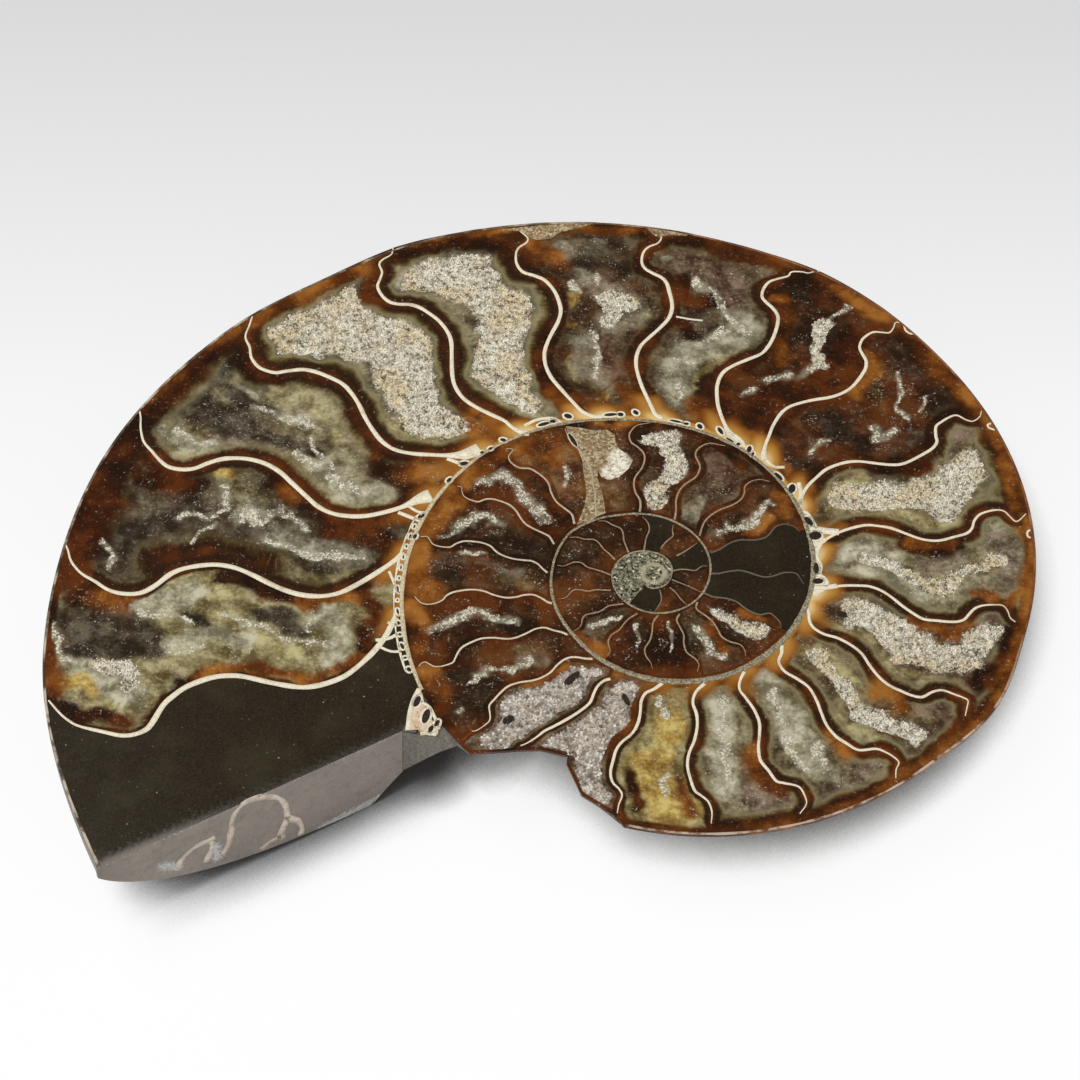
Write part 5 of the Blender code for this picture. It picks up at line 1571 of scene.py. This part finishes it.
# Thin nacre webs between the septa's inner ends and the wall: (width, route).
WEBS = (
    (0.5, ((21.2, 12.2), (22.0, 12.0), (22.9, 10.3), (23.3, 9.2))),
    (1.1, ((22.3, 9.3), (24.2, 8.9), (26.5, 8.7))),
    (0.7, ((22.2, 6.4), (23.6, 6.5), (24.6, 7.4))),
    (0.5, ((22.4, 5.5), (23.2, 4.2), (23.8, 2.5), (23.6, 1.0))),
    (0.6, ((22.3, 0.9), (23.6, 0.8), (24.6, -0.4), (24.2, -1.2))),
    (0.8, ((22.4, -1.4), (24.0, -1.4), (26.0, -1.0))),
    (0.6, ((21.2, 14.5), (20.9, 12.6), (21.4, 11.6))),
    (0.6, ((20.9, 17.6), (21.2, 15.4), (20.9, 13.4))),
    (0.5, ((18.9, 20.4), (17.4, 20.4), (16.2, 21.6))),
    (0.5, ((11.6, 26.2), (12.6, 25.2), (13.2, 23.9))),
    (0.6, ((-36.5, 9.3), (-34.5, 8.4), (-33.2, 7.9))),
    (0.45, ((-35.2, 10.6), (-33.8, 9.6), (-32.6, 9.4))),
    (0.6, ((-30.0, 19.6), (-28.4, 18.9), (-27.4, 18.2))),
    (0.5, ((-28.8, 20.2), (-27.4, 19.8), (-26.2, 20.4))),
    (0.5, ((-19.0, 26.4), (-17.2, 27.6), (-15.0, 28.0), (-13.6, 27.2))),
    (0.4, ((-37.2, -1.4), (-36.4, -3.4), (-35.6, -5.4))),
    (0.5, ((-38.4, -13.6), (-36.6, -13.2), (-35.4, -12.4))),
    (0.4, ((-37.6, -14.8), (-36.2, -15.4), (-34.8, -15.4))),
    (0.4, ((-36.9, -10.4), (-35.9, -10.8), (-35.0, -10.4))),
    (0.3, ((37.2, 48.8), (37.4, 47.9), (38.0, 47.3), (38.6, 47.2))),
    (0.3, ((49.3, 30.2), (48.8, 29.9), (49.0, 29.3), (49.8, 29.0))),
    (0.3, ((53.9, 10.5), (53.5, 10.0), (53.5, 9.3), (53.9, 9.0))),
    (0.3, ((3.0, 48.9), (5.0, 48.5), (7.0, 48.3))),
    (0.7, ((-33.1, -28.5), (-33.0, -26.0), (-32.6, -23.6), (-31.9, -21.6))),
    (0.4, ((-31.6, -23.8), (-30.4, -24.6), (-29.6, -26.2), (-28.9, -28.2))),
    (0.4, ((-31.4, -29.0), (-30.3, -28.9), (-29.2, -29.1))),
)
# Dark hollows beside the wall, drawn as flat dark discs level with the polish, their dark partly infill and partly
# painted shade: (x, y, half length, half width, degrees of its length from +X).
PORES = (
    (-33.9, 5.0, 0.45, 0.25, 70), (-33.0, 8.8, 0.45, 0.22, 60), (-29.5, 15.6, 0.5, 0.28, 55),
    (-27.5, 18.8, 0.62, 0.34, 15), (-25.0, 21.0, 0.3, 0.2, 40), (-23.8, 21.8, 0.36, 0.2, 40),
    (-22.0, 23.5, 0.45, 0.3, -15), (-16.2, 26.8, 0.9, 0.3, 22), (-14.9, 27.4, 0.45, 0.33, 0),
    (-12.7, 28.5, 0.62, 0.42, -25), (-6.5, 29.1, 0.95, 0.28, 8), (-5.0, 29.2, 0.42, 0.36, 0),
    (-2.8, 29.7, 0.5, 0.34, -50), (3.1, 28.3, 1.0, 0.2, -12), (4.6, 27.9, 0.4, 0.25, 0),
    (6.6, 27.5, 0.5, 0.36, -60), (9.6, 26.8, 0.75, 0.3, -62), (11.0, 25.1, 0.7, 0.18, -35),
    (12.2, 24.4, 0.3, 0.28, 0), (13.8, 23.5, 0.62, 0.34, 78), (14.3, 22.6, 0.36, 0.18, 70),
    (18.0, 18.6, 0.85, 0.3, -52), (19.9, 16.4, 0.85, 0.5, 78), (22.2, 10.5, 0.9, 0.45, -58),
    (23.1, 7.9, 0.9, 0.75, 20), (23.1, 2.0, 1.0, 0.4, 90), (23.3, -0.3, 0.8, 0.5, 10),
    (-32.1, -23.8, 0.95, 0.42, 72), (-30.75, -26.2, 1.25, 0.5, 78), (-30.0, -28.3, 0.6, 0.32, 70),
    (-29.2, -27.3, 0.6, 0.3, 65),
)
# The thick fold of nacre where the wall meets the sawn end.
CORNER_FOLD = (
    (-33.5, -28.6), (-33.3, -26.4), (-33.1, -24.6), (-32.6, -22.8), (-31.9, -21.5), (-31.4, -22.6),
    (-31.1, -24.2), (-30.6, -25.4), (-29.9, -26.8), (-29.0, -28.4), (-29.0, -29.0), (-30.4, -28.8),
    (-31.9, -28.5),
)
# Larger hollows inside the vein and the crystal linings, also flat dark discs: dark infill with painted shade of their
# depth.
HOLLOWS = (
    (-11.9, 24.0, 1.35, 0.3, -62), (-3.5, -22.0, 1.0, 0.35, -65), (-11.0, -18.8, 1.5, 0.5, 48),
    (-19.5, -26.2, 0.9, 0.55, 35), (26.6, -6.0, 0.75, 0.5, -20),
)
VEIN = (
    (-13.0, 26.6), (-11.0, 26.4), (-9.0, 26.0), (-7.0, 26.2), (-5.8, 25.4), (-5.7, 24.0), (-5.1, 22.6),
    (-3.9, 21.7), (-3.1, 20.6), (-3.7, 19.0), (-5.0, 17.4), (-6.4, 16.7), (-7.6, 17.2), (-8.1, 18.4),
    (-8.2, 17.0), (-7.6, 15.0), (-7.2, 13.0), (-7.0, 11.4), (-6.9, 10.5), (-8.1, 9.9), (-9.3, 8.9),
    (-10.9, 8.3), (-10.4, 10.0), (-9.9, 12.0), (-9.7, 14.0), (-9.9, 16.0), (-10.2, 18.0), (-10.4, 20.0),
    (-11.0, 22.0), (-11.4, 23.0), (-12.6, 25.2),
)
WHITE_OF_VEIN = ((-5.2, 21.2), (-4.8, 19.4), (-6.2, 18.2))
RIM_CHIPS = (
    ((-24.5, 65.2), (-22.0, 65.8), (-18.0, 66.6), (-14.0, 67.1), (-10.0, 67.3), (-11.5, 66.6), (-13.5, 65.8),
     (-15.0, 65.2), (-16.2, 63.9), (-17.5, 63.6), (-19.3, 63.6), (-20.0, 64.6), (-21.0, 65.2)),
    ((-1.6, 66.9), (1.0, 66.6), (3.0, 66.4), (5.0, 66.0), (4.4, 65.5), (3.2, 65.6), (1.0, 65.4), (0.2, 65.0),
     (-0.6, 65.6)),
    ((-81.4, -30.2), (-80.7, -31.0), (-80.3, -32.6), (-79.6, -33.8), (-80.4, -34.2), (-80.9, -32.8)),
    ((-79.4, -34.0), (-78.2, -33.7), (-77.8, -34.2), (-78.6, -34.9), (-78.4, -35.8), (-79.0, -36.2), (-79.5, -35.4),
     (-79.0, -34.9)),
)


def oval(x, y, half_length, half_width, degrees, grown=0.0, count=14):
    """A closed oval path."""
    angle = np.linspace(0, math.tau, count)
    along, across = (half_length + grown) * np.cos(angle), (half_width + grown) * np.sin(angle)
    lean = math.radians(degrees)
    return np.stack(
        [x + along * math.cos(lean) - across * math.sin(lean), y + along * math.sin(lean) + across * math.cos(lean)],
        axis=-1,
    )


def add_walls(finishes):
    path = arc_of_wall(-3.35, WALL_END)
    turn = np.linspace(-3.35, WALL_END, len(path))
    widths = np.interp(turn, *zip(*WALL_WIDTHS)) * (1 + 0.22 * blob_noise(path + 300, 0.9, 3))
    mesh = ribbons("inner_walls", [(path, widths / 2, 0.0)], WALL_TOP, 0.45, finishes["wall"])
    seat("inner_walls", mesh, finishes["wall"])

    rim_width = 0.42
    path = arc_of_wall(FIRST_TURN, TIP_TURN, offset=-rim_width / 2)
    widths = rim_width * (0.78 + 0.2 * blob_noise(path + 300, 2.0, 5))
    mesh = ribbons("outer_rim", [(path, widths / 2, 0.0)], WALL_TOP, 0.46, finishes["rim"])
    seat("outer_rim", mesh, finishes["rim"])


# The chain of beads outside the wall at the left: turns, how many, and their distance from the wall.
BEAD_TURNS = (-0.54, -0.42)
BEADS = 15
BEAD_OFFSET = 0.6


def add_webs(finishes):
    """The nacre webs, the bead chain and the hollows with their rims."""
    routes = [(smooth_path(route, 0.2), width / 2, 0.0) for width, route in WEBS]
    turns = np.linspace(*BEAD_TURNS, BEADS)
    beads = [
        (x, y, 0.34 + 0.2 * math.sin(5.1 * y), 0.19 + 0.1 * math.sin(3.3 * y), math.degrees(math.atan2(y, x)) + 90)
        for x, y in at_polar(turns, wall_radius(turns) + BEAD_OFFSET)
    ]
    outer_line = arc_of_wall(*BEAD_TURNS, offset=BEAD_OFFSET + 0.5)
    routes.append((outer_line, 0.12 + 0.07 * blob_noise(outer_line + 300, 1.1, 8), 0.0))
    for place in (*PORES, *beads):
        routes.append((oval(*place, grown=0.14), 0.18, 0.0))
    for place in HOLLOWS[:1]:
        routes.append((oval(*place, grown=0.1), 0.12, 0.3))
    mesh = ribbons("nacre_webs", routes, WEB_TOP, 0.42, finishes["septum"])
    seat("nacre_webs", mesh, finishes["septum"])
    fold = outline_plate("corner_fold", split_path((*CORNER_FOLD, CORNER_FOLD[0]), 0.4)[:-1], 0.4, WEB_TOP - 0.01)
    seat("corner_fold", fold, finishes["fold"])
    # Each pore, bead and hollow is a flat dark disc just above the polish: dark infill, with painted shade for the
    # hollows' depth.
    points, faces = [], []
    for place in (*PORES, *beads, *HOLLOWS):
        ring = oval(*place)[:-1]
        first, size = len(points), len(ring)
        points += [(x, y, PORE_TOP) for x, y in ring] + [(x, y, PLATE_BOTTOM) for x, y in ring]
        top = [tuple(range(first, first + size))]
        faces += plate_faces(top, range(first, first + size), first + size)
    seat("hollows", new_mesh("hollows", points, faces), finishes["pore"])


def add_vein(finishes):
    """The granular vein across the inner whorl, and the granular chips in the outer rim."""

    def marks(points):
        return {"white": 1 - fade(distance_to_path(points, WHITE_OF_VEIN), 0.8, 1.9)}

    vein = outline_plate("granular_vein", split_path((*VEIN, VEIN[0]), 0.4)[:-1], 0.35, WEB_TOP - 0.02, marks)
    seat("granular_vein", vein, finishes["vein"])
    for number, chip in enumerate(RIM_CHIPS, start=1):
        outline = split_path((*chip, chip[0]), 0.4)[:-1]
        turn = np.arctan2(outline[:, 1], outline[:, 0]) / math.tau
        outline = at_polar(turn, np.minimum(np.linalg.norm(outline, axis=1), wall_radius(turn) - 0.05))
        mesh = outline_plate(f"rim_chip_{number}", outline, 0.4, WALL_TOP, marks)
        seat(f"rim_chip_{number}", mesh, finishes["vein"])


def flank_depth(points):
    """Depth of the flank below the face at each point."""
    radius = np.linalg.norm(points, axis=1)
    turn = np.arctan2(points[:, 1], points[:, 0]) / math.tau
    depth = np.max([whorl_depth(radius, venter_radius(turn - whorl)) for whorl in range(WHORLS)], axis=0)
    start, end = np.array(NOTCH[-1]), np.array(NOTCH_BACK)
    run = (end - start) / np.linalg.norm(end - start)
    away = points - start
    beside = run[0] * away[:, 1] - run[1] * away[:, 0]
    outer = whorl_depth(radius, venter_radius(turn + 1))
    outer = np.minimum(outer, RIM_THICKNESS + NOTCH_SLOPE * beside)
    depth = np.where(turn < 0, np.maximum(depth, outer), depth)
    chip = RIM_THICKNESS + CHIP_SLOPE * distance_to_path(points, (NOTCH[-1], *CHIPPED_EDGE))
    return np.maximum(RIM_THICKNESS, np.minimum(depth, chip))


def whorl_depth(radius, venter):
    """Depth of one whorl's flank at this radius: full at its middle, steep at the venter and umbilicus."""
    across = radius / venter
    beyond = across > DEEPEST_AT
    reach = np.where(beyond, 1 - DEEPEST_AT, UMBILICAL_FOOT - DEEPEST_AT)
    roundness = np.where(beyond, VENTER_ROUNDNESS, UMBILICUS_ROUNDNESS)
    fall = np.clip((across - DEEPEST_AT) / reach, 0, 1) ** FLANK_FLATNESS
    return venter * DEEPEST * (1 - fall) ** roundness


# The direction from the saw cut into the stone.
INTO_STONE = (-0.524, 0.852)


def add_body_chamber(finishes):
    """The mudstone that fills the body chamber, its sawn edge worn round and lighter there, partly from wear and partly
    a painted highlight.
    """
    first = smooth_path(SEPTA[0], 0.8)
    outer = arc_of_wall(0.5495, TIP_TURN - 0.002, 1.0, -0.25)
    inner = arc_of_wall(-0.404, -0.4575, 0.8, 0.3)
    saw = split_path((SAW_TIP, SAW_HEEL), 0.5)
    saw = saw + 0.02 * np.array(INTO_STONE)
    corner = np.array(((-31.9, -28.9), (-31.6, -28.4)))
    outline = np.vstack([outer, saw[1:], corner, inner, first[::-1]])
    edge = np.array((SAW_TIP, SAW_HEEL))

    def height(points):
        near = 1 - np.clip(distance_to_path(points, edge) / 1.5, 0, 1)
        return FILLING_TOP - 0.33 * near**2

    # Lighter and rougher along the sawn edge, most at the tip: partly wear, partly a painted highlight on the rounded
    # edge.
    def marks(points):
        tip_wear_and_glint = 1 - 0.75 * fade(np.linalg.norm(points - np.array(SAW_TIP), axis=1), 4, 24)
        return {"worn": tip_wear_and_glint * (1 - np.clip(distance_to_path(points, edge) / 1.5, 0, 1))}

    mesh = outline_plate("body_chamber_rock", outline, 0.8, height, marks)
    seat("body_chamber_rock", mesh, finishes["rock"])


def add_centre(finishes):
    turn = np.linspace(-3.33, -2.335, 70)
    outline = at_polar(turn, wall_radius(turn) - 0.05)

    def marks(points):
        radius = np.linalg.norm(points - np.array((0.1, 0.0)), axis=1)
        return {"ring": 1 - fade(np.abs(radius - 1.6), 0.15, 0.5)}

    mesh = outline_plate("centre_grains", outline, 0.35, FILLING_TOP + 0.03, marks)
    seat("centre_grains", mesh, finishes["centre"])


# ------------------------------------------------------------------ the sawn end and the flank

SAW_LOOPS = (
    ((17.9, -10.2), (18.9, -8.5), (19.5, -5.7), (19.7, -3.5), (20.4, -1.6), (21.8, -0.5), (23.8, -0.7),
     (25.6, -1.7), (27, -3.2), (27.8, -5.5), (28, -8.1), (28.6, -9.2), (29.5, -10.4), (30, -12.2), (29.8, -14)),
    ((28, -8.1), (27.4, -10), (26.8, -11.6), (27.1, -13)),
    ((26.8, -12.1), (25.1, -12.3), (23.8, -13.2)),
    ((11.4, -8.6), (11.7, -7.4), (13, -6.1), (14.6, -5.3), (16, -5.4), (17.1, -5.2)),
    ((16.5, -5.7), (16.5, -7.5), (15.8, -9.4), (15.3, -10.1)),
)
PALE_PATCHES = (((9.2, -6.4), (11.4, -8.4)), ((17, -7.2), (17.2, -10.4)), ((33, -14.6), (42.4, -13.6)))


def saw_frame():
    """The sawn plane's own frame: x along the cut from its tip, y up, z out of the stone."""
    run = (Vector(SAW_HEEL) - Vector(SAW_TIP)).normalized()
    out = Vector((run.y, -run.x))
    turned = Matrix(((run.x, 0, out.x, SAW_TIP[0]), (run.y, 0, out.y, SAW_TIP[1]), (0, 1, 0, 0), (0, 0, 0, 1)))
    return FACE_TO_METRES @ turned


def add_sawn_end(finishes):
    length = float(np.linalg.norm(np.subtract(SAW_HEEL, SAW_TIP)))
    steps = np.linspace(0, length, 90)
    run = np.subtract(SAW_HEEL, SAW_TIP) / length
    depth = flank_depth(np.array(SAW_TIP) + steps[:, None] * run)
    depth = np.maximum(depth, 0.75)
    top = np.column_stack([steps, np.full(len(steps), -0.36)])
    outline = np.vstack([np.column_stack([steps, -depth + 0.02]), top[::-1]])

    def marks(points):
        pale = [0.95 - 0.95 * fade(distance_to_path(points, patch), 0.0, 2.0) for patch in PALE_PATCHES]
        dark = 1 - fade(points[:, 0], 0, 6)
        # A lighter band along the top edge: a painted highlight.
        top_edge_highlight = 1 - fade(-points[:, 1], 0.3, 1.6)
        return {"pale": np.maximum(np.max(pale, axis=0), 0.5 * top_edge_highlight), "dark": dark}

    mesh = outline_plate("sawn_end", outline, 0.6, 0.0, marks, bottom=-0.4)
    seat("sawn_end", mesh, finishes["saw"], saw_frame())
    routes = []
    for number, loop in enumerate(SAW_LOOPS):
        path = smooth_path(loop, 0.3)
        widths = 0.62 * (1 + 0.35 * blob_noise(path + 300, 1.5, number))
        routes.append((path, 0.75 * widths, 0.0))
    mesh = ribbons("sawn_end_shells", routes, 0.03, 0.2, finishes["saw_shell"])
    seat("sawn_end_shells", mesh, finishes["saw_shell"], saw_frame())


RIB_TURNS = 1 / 46
RIB_HEIGHT = 0.22
SUTURE_WAVES = ((0.011, 2.5, 0.4), (0.005, 7.0, 1.3), (0.0025, 17.0, 2.1))


def flank_marks(points, depth):
    """Where the sutures and the broken rock show on the flank."""
    radius = np.linalg.norm(points, axis=1)
    angle = np.arctan2(points[:, 1], points[:, 0]) / math.tau
    whorls = np.arange(-WHORLS, 2)[:, None]
    fits = (wall_radius(angle + whorls) > radius - 0.05) & (angle + whorls <= TIP_TURN + 0.01)
    turn = np.min(np.where(fits, angle + whorls, 9.0), axis=0)
    turn = np.where(turn > 8, angle, turn)
    inner = wall_radius(turn - 1)
    share = (radius - inner) / (wall_radius(turn) - inner)
    wave = sum(size * np.sin(math.tau * count * share + shift) for size, count, shift in SUTURE_WAVES)
    middles = np.array([float(np.mean(unrolled(smooth_path(points_, 1.0))[0])) for points_ in SEPTA])
    gaps = np.min(np.abs(turn[None, :] + wave[None, :] - middles[:, None]), axis=0) * math.tau * radius
    suture = (1 - fade(gaps, 0.25, 0.75)) * fade(share, 0.02, 0.1)
    broken = 1 - fade(distance_to_path(points, (NOTCH[-1], *CHIPPED_EDGE)), 1.5, 4.5)
    by_notch = 1 - fade(np.linalg.norm(points - np.array(NOTCH[1]), axis=1), 5.0, 9.0)
    broken = np.maximum.reduce([broken, fade(turn, 0.54, 0.56), by_notch])
    ribs = np.cos(turn / RIB_TURNS * math.tau + 2.2 * share**2) * 0.5 + 0.5
    relief = RIB_HEIGHT * ribs * fade(depth, 1.5, 6.0) + 0.12 * suture
    return relief, {"suture": suture, "broken": broken}


def add_flank(finishes):
    """The uncut side of the stone, with its ribs, closed just below the plates of the face."""
    outer = arc_of_wall(FIRST_TURN, TIP_TURN, 1.0)
    saw = split_path((SAW_TIP, SAW_HEEL), 1.0) + 0.2 * np.array(INTO_STONE)
    notch = np.array(NOTCH)
    outline = np.vstack([outer[:-1], saw, notch, np.array(CHIPPED_EDGE)[:-1]])
    ring, points, faces = filled_outline(outline, FLANK_STEP)
    depth = flank_depth(points)
    relief, marks = flank_marks(points, depth)
    low = np.column_stack([points, -np.maximum(RIM_THICKNESS, depth - relief - 0.03)])
    high = np.column_stack([ring, np.full(len(ring), FLANK_TOP)])
    size, count = len(ring), len(points)
    skirt = [(place, (place + 1) % size, count + (place + 1) % size, count + place) for place in range(size)]
    under = [tuple(reversed(face)) for face in faces]
    lid = [tuple(count + place for place in range(size))]
    values = {key: np.concatenate([value, value[:size]]) for key, value in marks.items()}
    mesh = new_mesh("flank", np.vstack([low, high]), [*under, *skirt, *lid], attributes=values)
    seat("flank", mesh, finishes["flank"])


FLANK_STEP = 0.75

# ------------------------------------------------------------------ floor, light and camera


# The floor glows like a light table. Its glow is dimmed near the stone by ambient occlusion, a painted contact shadow,
# and its grey darkens towards the back, a painted falloff of the light.
FLOOR_GLOW = 0.9
SHADOW_REACH = 0.0100


def add_floor():
    paint = Paint("studio_floor", roughness=0.7, specular=0.0)
    # Darker towards the back: painted falloff of the light.
    away = paint.reckon("ADD", paint.part_of(paint.places, 1), 50)
    painted_falloff_greys = ((0.0, 1.0), (0.3, 0.97), (0.5, 0.92), (0.7, 0.83), (1.0, 0.70))
    grey = paint.ramp(paint.reckon("DIVIDE", away, 165, clamp=True), [(place, (tone,) * 3) for place, tone in painted_falloff_greys])
    paint.colour(paint.mix(FLOOR_GLOW, grey, (0.0, 0.0, 0.0)))
    # Glow dimmed near the stone: a painted contact shadow.
    near = add_node(paint.tree, "ShaderNodeAmbientOcclusion", {"Distance": SHADOW_REACH}, samples=8)
    power = paint.reckon("MULTIPLY", paint.fade(near.outputs["AO"], 0.485, 0.90), FLOOR_GLOW)
    paint.tree.links.new(grey, paint.shader.inputs["Emission Color"])
    paint.tree.links.new(power, paint.shader.inputs["Emission Strength"])
    low = CAD_BOX[0].z
    corners = [(-3, -3, low), (3, -3, low), (3, 6, low), (-3, 6, low)]
    mesh = bpy.data.meshes.new("floor")
    mesh.from_pydata(corners, [], [(0, 1, 2, 3)])
    mesh.materials.append(paint.material)
    floor = bpy.data.objects.new("floor", mesh)
    bpy.context.scene.collection.objects.link(floor)


def add_light(name, place, target, size, power):
    light = bpy.data.lights.new(name, "AREA")
    light.shape = "DISK"
    light.size = size
    light.energy = power
    lamp = bpy.data.objects.new(name, light)
    lamp.location = place
    lamp.rotation_euler = (Vector(place) - Vector(target)).to_track_quat("Z", "Y").to_euler()
    bpy.context.scene.collection.objects.link(lamp)


def set_world(strength, dark_share):
    """A soft sky, darker where the polished face mirrors it for the camera."""
    world = bpy.data.worlds.new("studio_sky")
    bpy.context.scene.world = world
    world.use_nodes = True
    tree = world.node_tree
    direction = add_node(tree, "ShaderNodeTexCoord").outputs["Generated"]
    mirror = Vector((0.0, 0.62, 0.78)).normalized()
    near = add_node(tree, "ShaderNodeVectorMath", {0: direction, 1: mirror}, operation="DOT_PRODUCT")
    share = add_node(
        tree,
        "ShaderNodeMapRange",
        {"Value": near.outputs["Value"], "From Min": 0.78, "From Max": 0.94, "To Min": 1.0, "To Max": dark_share},
        interpolation_type="SMOOTHSTEP",
    )
    height = add_node(tree, "ShaderNodeSeparateXYZ", {0: direction}).outputs["Z"]
    rise = add_node(
        tree, "ShaderNodeMapRange", {"Value": height, "From Max": 0.9, "To Min": 0.55 * strength, "To Max": 1.15 * strength}
    )
    power = add_node(
        tree, "ShaderNodeMath", {0: share.outputs[0], 1: rise.outputs[0]}, operation="MULTIPLY"
    )
    tree.links.new(power.outputs[0], tree.nodes["Background"].inputs["Strength"])
    tree.nodes["Background"].inputs["Color"].default_value = (1, 1, 1, 1)


CAMERA_PLACE = (-16.115, -303.616, 390.031)
CAMERA_PITCH = 0.9010987714
CAMERA_ROLL = 0.0376850212
CAMERA_LENS = 116.667


def add_camera():
    """A camera held in the polished face's frame."""
    pitch, roll = CAMERA_PITCH, CAMERA_ROLL
    ahead = Vector((0, math.cos(pitch), -math.sin(pitch)))
    level, rise = Vector((1, 0, 0)), Vector((0, math.sin(pitch), math.cos(pitch)))
    right = level * math.cos(roll) + rise * math.sin(roll)
    up = rise * math.cos(roll) - level * math.sin(roll)
    turned = Matrix((right, up, -ahead)).transposed().to_4x4()
    data = bpy.data.cameras.new("camera")
    data.lens = CAMERA_LENS
    data.sensor_width = 36
    data.clip_start = 0.01
    camera = bpy.data.objects.new("camera", data)
    place = FACE_TO_METRES @ Vector(CAMERA_PLACE)
    camera.matrix_world = Matrix.Translation(place) @ (FACE_TO_ROW.to_3x3() @ turned.to_3x3()).to_4x4()
    bpy.context.scene.collection.objects.link(camera)
    bpy.context.scene.camera = camera


# ------------------------------------------------------------------ the whole stone

RIBBON_TREE = ribbon_tree()
CRYSTAL_TREE = crystal_tree()
FINISHES = {
    "chamber": chamber_finish(),
    "crystals": crystal_finish(),
    "septum": septum_finish(),
    "wall": wall_finish(),
    "fold": thick_nacre("peach_nacre", (0.62, 0.42, 0.27), (0.80, 0.66, 0.48)),
    "rim": rim_finish(),
    "rock": rock_finish("body_chamber_rock", (0.025, 0.018, 0.010), (0.060, 0.050, 0.027), 0.2),
    "inner_rock": rock_finish("inner_rock", (0.022, 0.016, 0.009), (0.05, 0.035, 0.018), 0.2),
    "saw": saw_finish(),
    "saw_shell": thick_nacre("sawn_nacre", (0.44, 0.365, 0.29), (0.62, 0.53, 0.43)),
    "centre": centre_finish(),
    "vein": vein_finish(),
    "flank": flank_finish(),
    "pore": pore_finish(),
}
add_chambers(FINISHES)
add_septa(FINISHES)
add_walls(FINISHES)
add_webs(FINISHES)
add_vein(FINISHES)
add_body_chamber(FINISHES)
add_centre(FINISHES)
add_sawn_end(FINISHES)
add_flank(FINISHES)
add_floor()
add_light("key", (-0.26, 0.17, 0.62), (0, 0, 0.01), 0.34, 1.4)
set_world(0.93, 0.04)
add_camera()
bpy.context.scene.view_settings.view_transform = "Standard"
